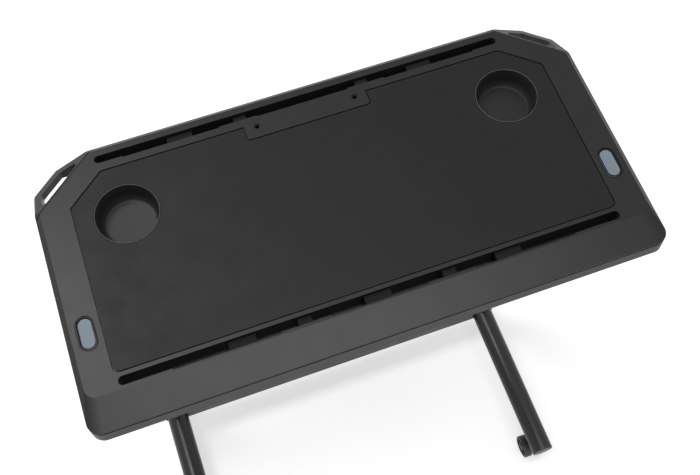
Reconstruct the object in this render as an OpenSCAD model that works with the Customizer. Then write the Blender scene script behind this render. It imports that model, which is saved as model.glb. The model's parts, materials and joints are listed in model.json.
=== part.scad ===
// Height-adjustable desk that stands over an indoor bike trainer
// The origin lies on the floor under the middle of the base
// +Z points up and +Y points away from the rider

/* [Deck] */
// Width of the deck across its rim
deck_w = 800; // [790:1:840]
// Depth of the deck across its rim
deck_d = 399; // [396:1:420]
// Thickness of the deck from its top to its underside
deck_t = 38; // [37.5:0.5:44]
// Height of the deck top above the floor
deck_top = 1075; // [1000:5:1120]
// How far the middle of the deck lies beyond the middle of the base
deck_shift = 9.5; // [5:0.5:12]
// Width and drop of the sloped rim round the deck top
rim_w = 8.5; // [7:0.5:9]
// Depth of the sloped lip on the rider's side
lip_w = 44.5; // [44:0.5:50]
// Corner radius of the deck on the rider's side
near_r = 18.5; // [16:0.5:24]
// Wall thickness of the shell and the tray
wall = 3; // [2.5:0.1:3.4]
// Thickness of the top plate between the rim and the mat
plate_t = 5.5; // [5:0.1:6]
// Height of the shell from the deck top to the parting groove
shell_h = 10.5; // [10:0.1:11.5]
// Width of the parting groove between shell and tray
groove_w = 2; // [1.6:0.1:2.2]

/* [Corner handles] */
// Distance of the corner cut from the far rim, along the side
corner_cut = 80; // [78:0.5:84]
// Angle of the corner cut to the far rim
cut_a = 40; // [39:0.5:41]
// Slope of the corner face below the deck top
bow_slope = 39; // [38:0.5:40]
// Width of the handle bow
bow_w = 12.6; // [11:0.2:14]
// Corner radius of the finger gap
handle_r = 5; // [3:0.5:6]
// Distance of the finger gap from the crease of the corner
handle_n = 5; // [4.6:0.1:6]
// Width of the seam between a corner handle and the shell
seam_w = 0.7; // [0.5:0.1:0.9]

/* [Mat] */
// Distance from the side edge of the deck top to the mat recess
mat_side = 40.5; // [40:0.5:44]
// Distance from the near edge of the deck top to the mat recess
mat_near = 22.2; // [22:0.1:24]
// Distance from the far edge of the deck top to the mat recess
mat_far = 33.6; // [33:0.1:36]
// Distance from the corner cut to the mat recess
mat_cut = 30.6; // [30:0.5:34]
// Depth of the mat recess
mat_recess = 2.8; // [2.5:0.1:2.9]
// Thickness of the mat
mat_t = 2.4; // [2:0.1:2.4]
// Gap between the mat and the edge of its recess
mat_gap = 1.7; // [1.2:0.1:2]
// Width of the accessory tab that reaches into the mat
tab_w = 182; // [170:1:190]
// Depth of the accessory tab
tab_d = 22.4; // [21:0.2:24]
// Spacing of the two threaded inserts in the tab
insert_spacing = 146.5; // [140:0.5:152]
// Diameter of the thread in the inserts
insert_d = 6.5; // [5:0.5:7]

/* [Device slots] */
// Width of the near device slot
near_slot_w = 12.4; // [11.5:0.1:12.8]
// Distance of an end of the near device slot from the side rim
near_slot_inset = 52; // [50:1:60]
// Width of the far device slot
far_slot_w = 11.8; // [11:0.1:12.4]
// Distance of an end of the far device slot from the side rim
far_slot_inset = 97; // [95:1:105]
// Depth of the cable notches in the near edge of both slots
notch_d = 1.7; // [1:0.1:2]
// Depth of the slot floor between the webs
slot_deep = 31.5; // [28:0.5:32]
// Depth of the webs that devices stand on
web_deep = 8; // [7:0.5:12]

/* [Cups] */
// Inner radius of the cup wells
cup_r = 43.5; // [40:0.5:45]
// Depth of the cup wells
cup_deep = 32; // [29:0.5:32]
// Distance of a cup's axis from the side of the mat
cup_side = 71.2; // [68:0.2:76]
// Distance of a cup's axis from the far edge of the mat
cup_far = 76.4; // [75:0.2:84]

/* [Release buttons] */
// Width of a button
button_w = 17.6; // [16:0.2:18.4]
// Length of a button
button_l = 41.4; // [38:0.2:44]
// Distance of a button's axis from the side rim
button_inset = 29.3; // [28.5:0.1:30]
// Distance of a button's axis from the middle of the deck, towards the rider
button_near = 68.8; // [60:0.2:76]
// Travel of a button
button_travel = 5; // [4:0.5:5]

/* [Columns and base] */
// Distance of a leg's axis from the side rim of the deck
leg_inset = 27; // [26.5:0.1:27.6]
// Outer radius of the leg and column tubes
tube_r = 23; // [22.5:0.1:23.4]
// Wall thickness of the steel tubes
tube_t = 2; // [1.8:0.1:2.2]
// Height of a leg's axis above the floor
leg_z = 93; // [93:0.5:97]
// Overall length of a leg with its two caps
leg_l = 520; // [516:2:560]
// Distance of a column's axis from the far rim of the deck
column_inset = 102; // [100:0.5:104]
// Height of the top of the outer column tube above the floor
column_top = 760; // [740:1:765]
// Outer radius of the inner column tube
inner_r = 19; // [18.5:0.1:19.2]
// Length of the inner column tube
inner_l = 650; // [620:2:660]
// Radial clearance of every running fit
fit = 0.05; // [0.02:0.01:0.08]
// Seat clearance between pieces that are held still
seat = 0.3; // [0.2:0.05:0.4]
// Radial gap of pins and plugs that are pressed or bolted into their holes
snug = 0.02; // [0.01:0.01:0.04]
// Height of the cross beam
beam_h = 30; // [26:1:32]
// Depth of the cross beam
beam_d = 40; // [36:1:42]

/* [Gas springs] */
// Outer radius of a gas spring cylinder
cylinder_r = 11; // [10.5:0.1:11.5]
// Height of the top of a gas spring cylinder above the floor
cylinder_top = 640; // [620:1:660]
// Radius of a gas spring rod
rod_r = 5; // [4.6:0.1:5.4]
// Length of a gas spring rod
rod_l = 617; // [600:1:630]

/* [Casters] */
// Radius of a caster wheel
wheel_r = 25; // [24:0.2:25.4]
// Width of one of the two wheels of a caster
wheel_w = 17; // [15:0.5:18]
// Width of the body between the two wheels
body_w = 17; // [16:0.5:18]
// Offset of the wheels from the swivel axis
trail = 18; // [17.6:0.1:19]
// Distance of a swivel axis from the end of its leg
caster_inset = 53; // [52:1:60]
// Radius of the caster stem
stem_r = 5.5; // [5:0.1:6]

/* [Hidden] */
$fn = 48;

// Thickness of the discs that the deck outline is wrapped round
slice = 0.01;
// Extra length that carries a cut clear of a surface
over = 1;
// Length of a cut that runs right through a tube or a caster
through = 100;

// Outline of the deck in its own frame: middle of the rim at the origin, deck top at height 0
half_w = deck_w / 2;
near_y = -deck_d / 2;
far_y = deck_d / 2;
top_half_w = half_w - rim_w;
top_near_y = near_y + lip_w;
top_far_y = far_y - rim_w;
edge_round = 4;
widest_z = deck_t - edge_round - 0.7;
tray_flare = 2.3;
top_near_r = 15.5;
far_r = 10;
rim_n = rim_w / tan(bow_slope);
bow_reach = widest_z / tan(bow_slope);
seam_n = 0.8;

// Mat recess and what lies round it
mat_half_w = top_half_w - mat_side;
mat_near_y = top_near_y + mat_near;
mat_far_y = top_far_y - mat_far;
mat_near_r = 8.5;
mat_far_r = 4;
tab_r = 4;
insert_y = mat_far_y - 5.4;
insert_wall = 1.5;
insert_l = 10;
insert_sunk = 1;

// Device slots
near_slot_gap = 5.5;
far_slot_gap = 9.6;
near_slot_l = deck_w - near_slot_inset * 2;
far_slot_l = deck_w - far_slot_inset * 2;
near_slot_y = mat_near_y - near_slot_gap - near_slot_w / 2;
far_slot_y = top_far_y - far_slot_gap - far_slot_w / 2;
notch_mid = 68;
near_notch = [134, near_slot_l / 2 - 69.4];
far_notch = [124, far_slot_l / 2 - 39];
wide_web = 37;
narrow_web = 19;
near_webs = [[-186, wide_web], [-101, narrow_web], [0, wide_web], [101, narrow_web], [186, wide_web]];
far_webs = [[-181, wide_web], [-92, narrow_web], [92, narrow_web], [181, wide_web]];
trough_t = 2.5;

// Cups
cup_x = mat_half_w - cup_side;
cup_y = mat_far_y - cup_far;
cup_t = 1.8;
cup_fillet = 16;
cup_window = cup_r + cup_t + 1.5;
cup_flange = cup_window + 4;
cup_flange_t = 1.4;
flange_play = 0.1;

// Buttons and what they push
button_x = half_w - button_inset;
button_y = -button_near;
button_skirt = 1.6;
button_play = 0.15;
skirt_z = 3;
cap_h = 7;
spring_solid = 5;
well_floor = cap_h + button_travel + spring_solid;
well_t = 2;
stem_button_r = 4;
foot_r = 6;
foot_h = 2.2;
dish_grow = 4.2;
dish_deep = 1.6;
spring_wire = 2;
spring_gap = 0.6;
spring_play = 0.05;

// Frame positions
leg_x = half_w - leg_inset;
col_y = far_y - column_inset;
column_y = col_y + deck_shift;
lever_t = 5;
lever_w = 10;
lever_x = (leg_x + button_x) / 2;
lever_top = well_floor + well_t + seat + foot_h + seat;
lever_mid = lever_top + lever_t / 2;
pivot_reach = 20.5;
pivot_y = col_y + pivot_reach;
pivot_r = 2.5;
pivot_boss_r = 6;
pivot_over = 7;
ear_t = 2.5;
bracket_back = 11;
bracket_l = 17;
floor_z = deck_t - wall;
head_t = 6;
head_round = 6;
head_socket_h = 12;
head_socket_r = inner_r + 4;
head_z = deck_top - deck_t - head_t;
pin_r = 2;
pin_l = 33;
head_in = 47;
head_out = 21;
head_near = 45.5;
head_far = 22;
hole_edge_in = 9;
hole_edge_out = 8;
hole_edge = 10;
head_x = [leg_x - head_in, leg_x + head_out];
head_y = [col_y - head_near, col_y + head_far];
hole_in = head_x[0] + hole_edge_in;
hole_out = head_x[1] - hole_edge_out;
hole_near = head_y[0] + hole_edge;
hole_far = head_y[1] - hole_edge;
head_holes = [[hole_in, hole_near], [hole_in, hole_far], [hole_out, hole_near]];
head_screw_r = 3;
head_screw_cap_r = 5.4;
head_screw_cap_h = 4;
head_boss_r = 6;
head_boss_h = 9;
head_screw_bite = 9;
shell_screw_r = 2;
tongue_t = 1.8;
screw_boss_h = 3;
near_row_y = near_y + 23.5;
far_row_y = mat_far_y - 7.4;
corner_screw_inset = 70;
side_screw_inset = 60;
side_screw_y = -10;
near_screw_x = 110;
far_screw_x = 230;
mid_screw_x = 40;
shell_screws_at = [[half_w - corner_screw_inset, near_row_y], [near_screw_x, near_row_y],
    [half_w - side_screw_inset, side_screw_y], [far_screw_x, far_row_y], [mid_screw_x, far_row_y]];
post_end = 15;
post_roof = 1.5;
post_r = shell_screw_r + 2.5;
spacer_r = shell_screw_r + 3;
screw_boss_r = shell_screw_r * 2 + 2.5;
screw_cap_h = 2.7;
screw_sunk = 0.2;
tongue_up = 2;
tongue_down = 5;

// Columns
bore_r = tube_r - tube_t;
inner_top = head_z;
inner_bottom = inner_top - inner_l;
bush_h = 12;
bush_plug = 16;
bush_gap = 1;
collar_t = 3;
collar_guide = 36;
collar_skirt = 18;
collar_bevel = 2;
foot_pin_r = 4;
foot_pin_cap = 2.5;
foot_pin_over = 3;
foot_pin_z = leg_z + tube_r + 9;
cylinder_t = 2;
cylinder_foot = 20;
cylinder_lid = 6;
cylinder_bottom = leg_z + tube_r + 1;
piston_h = 12;
rod_bottom = deck_top - deck_t - rod_l;
cap_t = 5;
cap_step = 1.2;
plug_l = 14;
leg_half = leg_l / 2 - cap_t;
bolt_r = 4;
bolt_cap_r = 6.5;
bolt_cap_h = 3.4;
bolt_bite = 16;
bolt_side = 12;
bolt_y = [column_y - bolt_side, column_y + bolt_side];
caster_y = leg_l / 2 - caster_inset;
block_l = 24;

// Casters
body_top = leg_z - tube_r - 10;
socket_r = 13;
socket_neck_r = 8;
socket_top = leg_z - 5;
stem_l = socket_top - body_top - 3;
axle_r = 3;
side_gap = 0.4;
lever_low = wheel_r * 2 + 4.5;
brake_t = 4;
brake_w = 12;
brake_l = 34;
body_round_r = wheel_r - 5;
brake_hinge_x = 3;
ear_y = brake_w / 2 + 3.5;
brake_pin_r = 1.5;
brake_hinge_z = lever_low + brake_t / 2;

// Height of the corner cut line at x, n outside the crease of the corner
function cut_y(x, n) = far_y - corner_cut + (n - (x - top_half_w) * sin(cut_a)) / cos(cut_a);
// Width of the corner cut line at y, n outside the crease of the corner
function cut_x(y, n) = top_half_w + (n - (y - far_y + corner_cut) * cos(cut_a)) / sin(cut_a);

module in_deck() translate([0, deck_shift, deck_top]) children();

// Rectangle with round corners about its own middle
module round_rect(l, d, r) {
    square([l - 2 * r, d], center = true);
    square([l, d - 2 * r], center = true);
    for (x = [-1, 1], y = [-1, 1])
        translate([x * (l / 2 - r), y * (d / 2 - r)]) circle(r);
}

// Bar with full round ends, long in X
module stadium(l, d) {
    square([l - d, d], center = true);
    for (x = [-1, 1]) translate([x * (l - d) / 2, 0]) circle(d / 2);
}

// Discs at the six corners of the deck outline at one height
module deck_level(z, w, y0, y1, n, r0, r1) {
    for (s = [-1, 1]) {
        translate([s * (w - r0), y0 + r0, z - slice]) cylinder(r = r0, h = slice, $fn = 40);
        translate([s * (w - r1), cut_y(w - r1, n - r1), z - slice]) cylinder(r = r1, h = slice, $fn = 32);
        translate([s * cut_x(y1 - r1, n - r1), y1 - r1, z - slice]) cylinder(r = r1, h = slice, $fn = 32);
    }
}

// Full body of the deck, drawn in by inset and lowered by drop
module deck_body(inset, drop) hull() {
    deck_level(-drop, top_half_w - inset, top_near_y + inset, top_far_y - inset, -inset,
        top_near_r, far_r);
    deck_level(-rim_w - drop, half_w - inset, near_y + inset, far_y - inset, rim_n - inset,
        near_r - inset, far_r - inset);
    deck_level(-widest_z, half_w - inset, near_y - tray_flare + inset, far_y - inset,
        bow_reach - inset, near_r - inset, far_r - inset);
    deck_level(-deck_t + slice, half_w - edge_round - inset, near_y + edge_round + inset,
        far_y - edge_round - inset, bow_reach - edge_round - inset,
        near_r - edge_round - inset, max(far_r - edge_round - inset, over));
}

// Plan of everything that lies inside the corner cuts moved out by n
module plan_inside(n) {
    x = half_w + over * 5;
    y = far_y + over * 5;
    polygon([[-x, -y], [x, -y], [x, cut_y(x, n)], [cut_x(y, n), y], [-cut_x(y, n), y], [-x, cut_y(x, n)]]);
}

// Slab of the plan inside the corner cuts between two depths below the deck top
module inside_slab(n, upper, lower)
    translate([0, 0, -lower]) linear_extrude(lower - upper) plan_inside(n);

// Finger gap of one handle
module handle_gap(s) {
    side = half_w - bow_w - handle_r;
    back = far_y - bow_w - handle_r;
    outer = bow_reach - bow_w - handle_r;
    inner = handle_n + handle_r;
    hull() for (c = [[side, cut_y(side, inner)], [side, cut_y(side, outer)],
            [cut_x(back, outer), back], [cut_x(back, inner), back]])
        translate([s * c[0], c[1], -deck_t - over]) cylinder(r = handle_r, h = deck_t + over * 2, $fn = 32);
}

// Plan of the mat, drawn in by gap
module mat_plan(gap) difference() {
    w = mat_half_w - gap;
    y0 = mat_near_y + gap;
    y1 = mat_far_y - gap;
    n = -mat_cut - gap - mat_far_r;
    hull() for (s = [-1, 1]) {
        translate([s * (w - mat_near_r), y0 + mat_near_r]) circle(mat_near_r, $fn = 40);
        translate([s * (w - mat_far_r), cut_y(w - mat_far_r, n)]) circle(mat_far_r, $fn = 32);
        translate([s * cut_x(y1 - mat_far_r, n), y1 - mat_far_r]) circle(mat_far_r, $fn = 32);
    }
    translate([0, mat_far_y]) round_rect(tab_w + gap * 2, (tab_d + gap) * 2, tab_r);
}

// Plan of a device slot with its cable notches
module slot_plan(l, d, notch) {
    stadium(l, d);
    translate([-notch_mid, -d / 2 - notch_d]) square([notch_mid * 2, d]);
    for (s = [-1, 1])
        translate([s * (notch[0] + notch[1]) / 2, -notch_d])
            square([notch[1] - notch[0], d], center = true);
}

// Everything cut away for one device slot
module slot_cut(l, d, notch, webs) {
    translate([0, 0, -web_deep]) linear_extrude(web_deep + over) slot_plan(l, d, notch);
    translate([0, 0, -slot_deep]) linear_extrude(slot_deep) difference() {
        slot_plan(l, d, notch);
        for (w = webs) translate([w[0], 0]) square([w[1], d * 2], center = true);
    }
}

// Trough that holds one device slot below the top plate
module trough(l, d) {
    deep = slot_deep + trough_t;
    translate([0, -notch_d / 2, -deep]) linear_extrude(deep - plate_t / 2)
        square([l + trough_t * 2, d + notch_d + trough_t * 2], center = true);
}

// Plan of a button well or dish, grown out from the button
module button_plan(grow) rotate(90) stadium(button_l + grow * 2, button_w + grow * 2);

module top_shell() color("#3a3b3d") in_deck() difference() {
    union() {
        difference() {
            intersection() {
                deck_body(0, 0);
                inside_slab(seam_n, -over, shell_h);
            }
            intersection() {
                deck_body(wall, plate_t);
                inside_slab(seam_n - wall, 0, deck_t);
            }
        }
        translate([0, near_slot_y, 0]) trough(near_slot_l, near_slot_w);
        translate([0, far_slot_y, 0]) trough(far_slot_l, far_slot_w);
        for (s = [-1, 1]) {
            translate([s * button_x, button_y, -well_floor - well_t])
                linear_extrude(well_floor - plate_t / 2)
                button_plan(button_skirt + button_play + well_t);
            translate([s * insert_spacing / 2, insert_y, -insert_l - insert_sunk - well_t])
                cylinder(r = insert_d / 2 + insert_wall + well_t, h = insert_l);
            for (p = shell_screws_at) translate([s * p[0], p[1], -post_end])
                cylinder(r = post_r, h = post_end - plate_t);
        }
    }
    translate([0, 0, -mat_recess]) linear_extrude(mat_recess + over) mat_plan(0);
    translate([0, near_slot_y, 0]) slot_cut(near_slot_l, near_slot_w, near_notch, near_webs);
    translate([0, far_slot_y, 0]) slot_cut(far_slot_l, far_slot_w, far_notch, far_webs);
    for (s = [-1, 1]) {
        translate([s * cup_x, cup_y, -deck_t]) linear_extrude(deck_t) square(cup_window * 2, center = true);
        translate([s * cup_x, cup_y, -mat_recess - cup_flange_t - flange_play]) linear_extrude(deck_t)
            square((cup_flange + seat) * 2, center = true);
        translate([s * button_x, button_y, 0]) {
            translate([0, 0, -dish_deep]) linear_extrude(dish_deep + over) button_plan(dish_grow);
            translate([0, 0, -well_floor]) linear_extrude(deck_t) button_plan(button_skirt + button_play);
            translate([0, 0, -deck_t]) cylinder(r = stem_button_r + fit, h = deck_t);
        }
        translate([s * insert_spacing / 2, insert_y, -insert_l - insert_sunk])
            cylinder(r = insert_d / 2 + insert_wall, h = deck_t);
        for (p = shell_screws_at) translate([s * p[0], p[1], -post_end - over])
            cylinder(r = shell_screw_r + fit, h = post_end + over - plate_t - post_roof);
    }
}

module lower_tray() color("#3f4042") in_deck() difference() {
    lip = shell_h + groove_w;
    union() {
        difference() {
            intersection() {
                deck_body(0, 0);
                inside_slab(seam_n, lip, deck_t + over);
            }
            intersection() {
                deck_body(wall, plate_t);
                inside_slab(seam_n - wall, 0, floor_z);
            }
        }
        // Tongue that rises behind the parting groove
        intersection() {
            difference() {
                deck_body(wall + seat, plate_t);
                deck_body(wall + seat + tongue_t, 0);
            }
            inside_slab(seam_n - wall - seat, shell_h - tongue_up, shell_h + tongue_down);
        }
        intersection() {
            difference() {
                deck_body(wall / 2, plate_t);
                deck_body(wall + seat + tongue_t, plate_t);
            }
            inside_slab(seam_n - wall - seat, lip + over, shell_h + tongue_down);
        }
        for (s = [-1, 1]) {
            for (p = shell_screws_at) translate([s * p[0], p[1], -floor_z - over])
                cylinder(r = screw_boss_r, h = screw_boss_h + over);
            for (p = head_holes) translate([s * p[0], p[1], -floor_z - over])
                cylinder(r = head_boss_r, h = head_boss_h + over);
        }
    }
    for (s = [-1, 1]) {
        translate([s * leg_x, col_y, -deck_t - over]) cylinder(r = rod_r - 1, h = deck_t);
        for (p = shell_screws_at) translate([s * p[0], p[1], -deck_t - over]) {
            cylinder(r = shell_screw_r + fit, h = deck_t);
            cylinder(r = shell_screw_r * 2 + seat, h = over + screw_cap_h + seat);
        }
        for (p = head_holes) translate([s * p[0], p[1], -deck_t - over])
            cylinder(r = head_screw_r + fit, h = over + head_screw_bite + 2);
    }
}

module screw_spacers() color("#303133") in_deck() for (s = [-1, 1], p = shell_screws_at)
    translate([s * p[0], p[1], -floor_z + screw_boss_h + snug]) difference() {
        cylinder(r = spacer_r, h = floor_z - screw_boss_h - post_end - snug * 2);
        translate([0, 0, -over]) cylinder(r = shell_screw_r + fit, h = deck_t);
    }

// Ring round the finger gap at one corner, with the bow that the hand holds
module corner_handle(s) color("#3a3b3d") in_deck() difference() {
    intersection() {
        deck_body(0, 0);
        translate([s * half_w, far_y, 0]) cube(half_w, center = true);
    }
    inside_slab(seam_n + seam_w, -over, deck_t + over);
    handle_gap(s);
}

module desk_mat() color("#242526") in_deck() difference() {
    translate([0, 0, -mat_recess + snug]) linear_extrude(mat_t) mat_plan(mat_gap);
    for (s = [-1, 1]) translate([s * cup_x, cup_y, -deck_t])
        cylinder(r = cup_r + cup_t + seat, h = deck_t * 2);
}

// Half profile of a round well of given radius and depth
module well_profile(r, deep, f) {
    translate([0, -deep]) square([r - f, deep]);
    translate([0, f - deep]) square([r, deep - f]);
    translate([r - f, f - deep]) circle(f);
}

module cup(s) color("#2c2d2f") in_deck() translate([s * cup_x, cup_y, 0]) {
    rotate_extrude($fn = 96) {
        difference() {
            well_profile(cup_r + cup_t, cup_deep + cup_t, cup_fillet + cup_t);
            translate([0, over]) well_profile(cup_r, cup_deep + over, cup_fillet);
            translate([-cup_r, -cup_deep * 2]) square([cup_r, cup_deep * 3]);
            square(cup_deep * 2);
        }
    }
    translate([0, 0, -mat_recess - cup_flange_t]) linear_extrude(cup_flange_t) difference() {
        square(cup_flange * 2, center = true);
        circle(cup_r + cup_t / 2, $fn = 96);
    }
}

module shell_screws() color("#2a2a2a") in_deck() for (s = [-1, 1], p = shell_screws_at)
    translate([s * p[0], p[1], -deck_t + screw_sunk]) {
        cylinder(r = shell_screw_r, h = deck_t - plate_t - post_roof - seat - screw_sunk);
        cylinder(r = shell_screw_r * 2, h = screw_cap_h);
    }

module accessory_inserts() color("#4a4a48") in_deck() for (s = [-1, 1])
    translate([s * insert_spacing / 2, insert_y, -insert_l - insert_sunk + snug]) difference() {
        cylinder(r = insert_d / 2 + insert_wall - fit, h = insert_l);
        translate([0, 0, -over]) cylinder(r = insert_d / 2, h = insert_l + over * 2);
    }

module button(s) color("#7d93a8") in_deck() translate([s * button_x, button_y, 0]) {
    translate([0, 0, -cap_h]) linear_extrude(cap_h) button_plan(0);
    translate([0, 0, -cap_h]) linear_extrude(cap_h - skirt_z) button_plan(button_skirt);
    translate([0, 0, -well_floor - well_t - seat - foot_h / 2])
        cylinder(r = stem_button_r, h = well_floor + well_t + seat + foot_h / 2 - cap_h / 2);
    translate([0, 0, -well_floor - well_t - seat - foot_h]) cylinder(r = foot_r, h = foot_h);
}

module button_spring(s) color("#b8bcc0") in_deck()
    translate([s * button_x, button_y, -well_floor + spring_play]) difference() {
        cylinder(r = stem_button_r + spring_gap + spring_wire, h = well_floor - cap_h - spring_play * 2);
        translate([0, 0, -over]) cylinder(r = stem_button_r + spring_gap, h = well_floor);
    }

module release_lever(s) color("#8d9094") in_deck() translate([s * lever_x, 0, -lever_mid]) difference() {
    union() {
        translate([-lever_w / 2, button_y, -lever_t / 2]) cube([lever_w, pivot_y - button_y, lever_t]);
        translate([0, button_y, -lever_t / 2]) cylinder(r = lever_w / 2, h = lever_t);
        translate([-lever_w / 2, pivot_y, 0]) rotate([0, 90, 0]) cylinder(r = pivot_boss_r, h = lever_w);
    }
    translate([-lever_w, pivot_y, 0]) rotate([0, 90, 0]) cylinder(r = pivot_r + fit, h = lever_w * 2);
}

module lever_bracket(s) color("#9a9da1") in_deck() translate([s * lever_x, pivot_y, 0]) difference() {
    reach = lever_w / 2 + seat;
    union() {
        translate([-reach - ear_t, -bracket_back, -floor_z]) cube([(reach + ear_t) * 2, bracket_l, ear_t]);
        for (x = [-reach - ear_t, reach]) {
            translate([x, -pivot_boss_r, -floor_z]) cube([ear_t, pivot_boss_r * 2, floor_z - lever_mid]);
            translate([x, 0, -lever_mid]) rotate([0, 90, 0]) cylinder(r = pivot_boss_r, h = ear_t);
        }
    }
    translate([-lever_w, 0, -lever_mid]) rotate([0, 90, 0]) cylinder(r = pivot_r + snug, h = lever_w * 2);
}

module lever_pin(s) color("#c4c7ca") in_deck() translate([s * lever_x, pivot_y, -lever_mid])
    rotate([0, 90, 0]) cylinder(r = pivot_r, h = lever_w + pivot_over, center = true);

module release_pin(s) color("#d0d2d4") in_deck()
    translate([s * leg_x, col_y, -lever_top - lever_t - seat - pin_l]) cylinder(r = pin_r, h = pin_l);

module head_plate(s) color("#1d1e20") translate([0, deck_shift, head_z]) difference() {
    w = head_x[1] - head_x[0];
    d = head_y[1] - head_y[0];
    union() {
        translate([s * (head_x[0] + w / 2), head_y[0] + d / 2, 0]) linear_extrude(head_t)
            round_rect(w, d, head_round);
        translate([s * leg_x, col_y, -head_socket_h]) cylinder(r = head_socket_r, h = head_socket_h);
    }
    translate([s * leg_x, col_y, -head_socket_h - over])
        cylinder(r = inner_r + snug, h = head_socket_h + over);
    translate([s * leg_x, col_y, -over]) cylinder(r = rod_r + snug, h = head_t + over * 2);
    for (p = head_holes) translate([s * p[0], p[1], -over])
        cylinder(r = head_screw_r + seat, h = head_t + over * 2);
}

module head_screws() color("#2a2a2a") translate([0, deck_shift, head_z]) for (s = [-1, 1], p = head_holes)
    translate([s * p[0], p[1], 0]) {
        translate([0, 0, -head_screw_cap_h]) cylinder(r = head_screw_cap_r, h = head_screw_cap_h);
        cylinder(r = head_screw_r, h = head_t + head_screw_bite);
    }

module column_inner(s) color("#26272a") translate([s * leg_x, column_y, inner_bottom]) difference() {
    cylinder(r = inner_r, h = inner_l);
    translate([0, 0, -over]) cylinder(r = inner_r - tube_t, h = inner_l + over * 2);
}

module slide_bush(s) color("#d9d6cc") translate([s * leg_x, column_y, inner_bottom - bush_h]) difference() {
    union() {
        cylinder(r = bore_r - fit, h = bush_h - snug);
        cylinder(r = inner_r - tube_t - snug, h = bush_h + bush_plug);
    }
    translate([0, 0, -over]) cylinder(r = cylinder_r + bush_gap, h = bush_h * 3);
}

module gas_rod(s) color("#b9bdc2") translate([s * leg_x, column_y, rod_bottom]) difference() {
    union() {
        cylinder(r = rod_r, h = rod_l);
        cylinder(r = cylinder_r - cylinder_t - fit, h = piston_h);
    }
    translate([0, 0, rod_l - pin_l]) cylinder(r = pin_r + fit, h = pin_l + over);
}

module column_outer(s) color("#1b1c1e") translate([s * leg_x, column_y, 0]) difference() {
    translate([0, 0, leg_z]) cylinder(r = tube_r, h = column_top - leg_z);
    translate([0, 0, leg_z - over]) cylinder(r = bore_r, h = column_top);
    translate([0, 0, leg_z]) rotate([90, 0, 0]) cylinder(r = tube_r + seat, h = tube_r * 4, center = true);
    translate([0, 0, foot_pin_z]) rotate([90, 0, 0])
        cylinder(r = foot_pin_r + snug, h = through, center = true);
}

module column_collar(s) color("#17181a") translate([s * leg_x, column_y, column_top])
    rotate_extrude($fn = 96)
    difference() {
        union() {
            translate([inner_r + fit, -collar_guide])
                square([bore_r - inner_r - fit * 2, collar_guide + over]);
            translate([inner_r + fit, snug]) square([tube_r + collar_t - inner_r - fit, collar_t]);
            translate([tube_r + snug, -collar_skirt]) square([collar_t - snug, collar_skirt + over / 2]);
        }
        translate([tube_r + collar_t, collar_t]) rotate(45) square(collar_bevel, center = true);
    }

module gas_cylinder(s) color("#2b2c2f") translate([s * leg_x, column_y, cylinder_bottom]) difference() {
    h = cylinder_top - cylinder_bottom;
    cylinder(r = cylinder_r, h = h);
    translate([0, 0, cylinder_foot])
        cylinder(r = cylinder_r - cylinder_t, h = h - cylinder_foot - cylinder_lid);
    translate([0, 0, cylinder_foot]) cylinder(r = rod_r + fit, h = h);
    translate([0, 0, foot_pin_z - cylinder_bottom]) rotate([90, 0, 0])
        cylinder(r = foot_pin_r + snug, h = tube_r * 4, center = true);
}

module spring_foot_pins() color("#8f9296") for (s = [-1, 1])
    translate([s * leg_x, column_y + tube_r, foot_pin_z]) rotate([90, 0, 0]) {
        translate([0, 0, -foot_pin_cap]) cylinder(r = foot_pin_r + foot_pin_cap, h = foot_pin_cap);
        translate([0, 0, -over]) cylinder(r = foot_pin_r, h = tube_r * 2 + foot_pin_over + over);
    }

module leg(s) color("#141517") translate([s * leg_x, 0, leg_z]) difference() {
    rotate([90, 0, 0]) cylinder(r = tube_r, h = leg_half * 2, center = true, $fn = 96);
    rotate([90, 0, 0]) cylinder(r = bore_r, h = leg_half * 2 + over * 2, center = true, $fn = 96);
    for (y = bolt_y) translate([0, y, 0]) rotate([0, 90, 0])
        cylinder(r = bolt_r + seat, h = through, center = true);
    for (y = [-caster_y, caster_y]) translate([0, y, -tube_r - over])
        cylinder(r = socket_neck_r + fit, h = tube_r);
}

module leg_caps() color("#202124") for (s = [-1, 1], e = [-1, 1])
    translate([s * leg_x, e * leg_half, leg_z]) rotate([-90 * e, 0, 0]) {
        translate([0, 0, snug]) cylinder(r = tube_r - 1, h = cap_t - snug, $fn = 96);
        translate([0, 0, snug]) cylinder(r = tube_r, h = cap_t - cap_step, $fn = 96);
        translate([0, 0, -plug_l]) cylinder(r = bore_r - snug, h = plug_l + over, $fn = 96);
    }

module cross_beam() color("#17181a") translate([0, column_y, leg_z]) difference() {
    cube([leg_x * 2, beam_d, beam_h], center = true);
    cube([(leg_x - tube_r - block_l) * 2, beam_d - tube_t * 2, beam_h - tube_t * 2], center = true);
    for (s = [-1, 1]) {
        translate([s * leg_x, 0, 0]) rotate([90, 0, 0])
            cylinder(r = tube_r + seat, h = through, center = true);
        translate([s * leg_x, 0, 0]) cylinder(r = tube_r + seat, h = beam_h);
        for (y = bolt_y) translate([s * (leg_x - tube_r), y - column_y, 0]) rotate([0, 90, 0])
            cylinder(r = bolt_r + snug, h = (bolt_bite + over) * 2, center = true);
    }
}

module beam_bolts() color("#9a9da1") for (s = [-1, 1], y = bolt_y)
    translate([s * (leg_x + tube_r + seat), y, leg_z]) rotate([0, -90 * s, 0]) {
        translate([0, 0, -bolt_cap_h]) cylinder(r = bolt_cap_r, h = bolt_cap_h);
        translate([0, 0, -over]) cylinder(r = bolt_r, h = tube_r * 2 + bolt_bite);
    }

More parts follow.
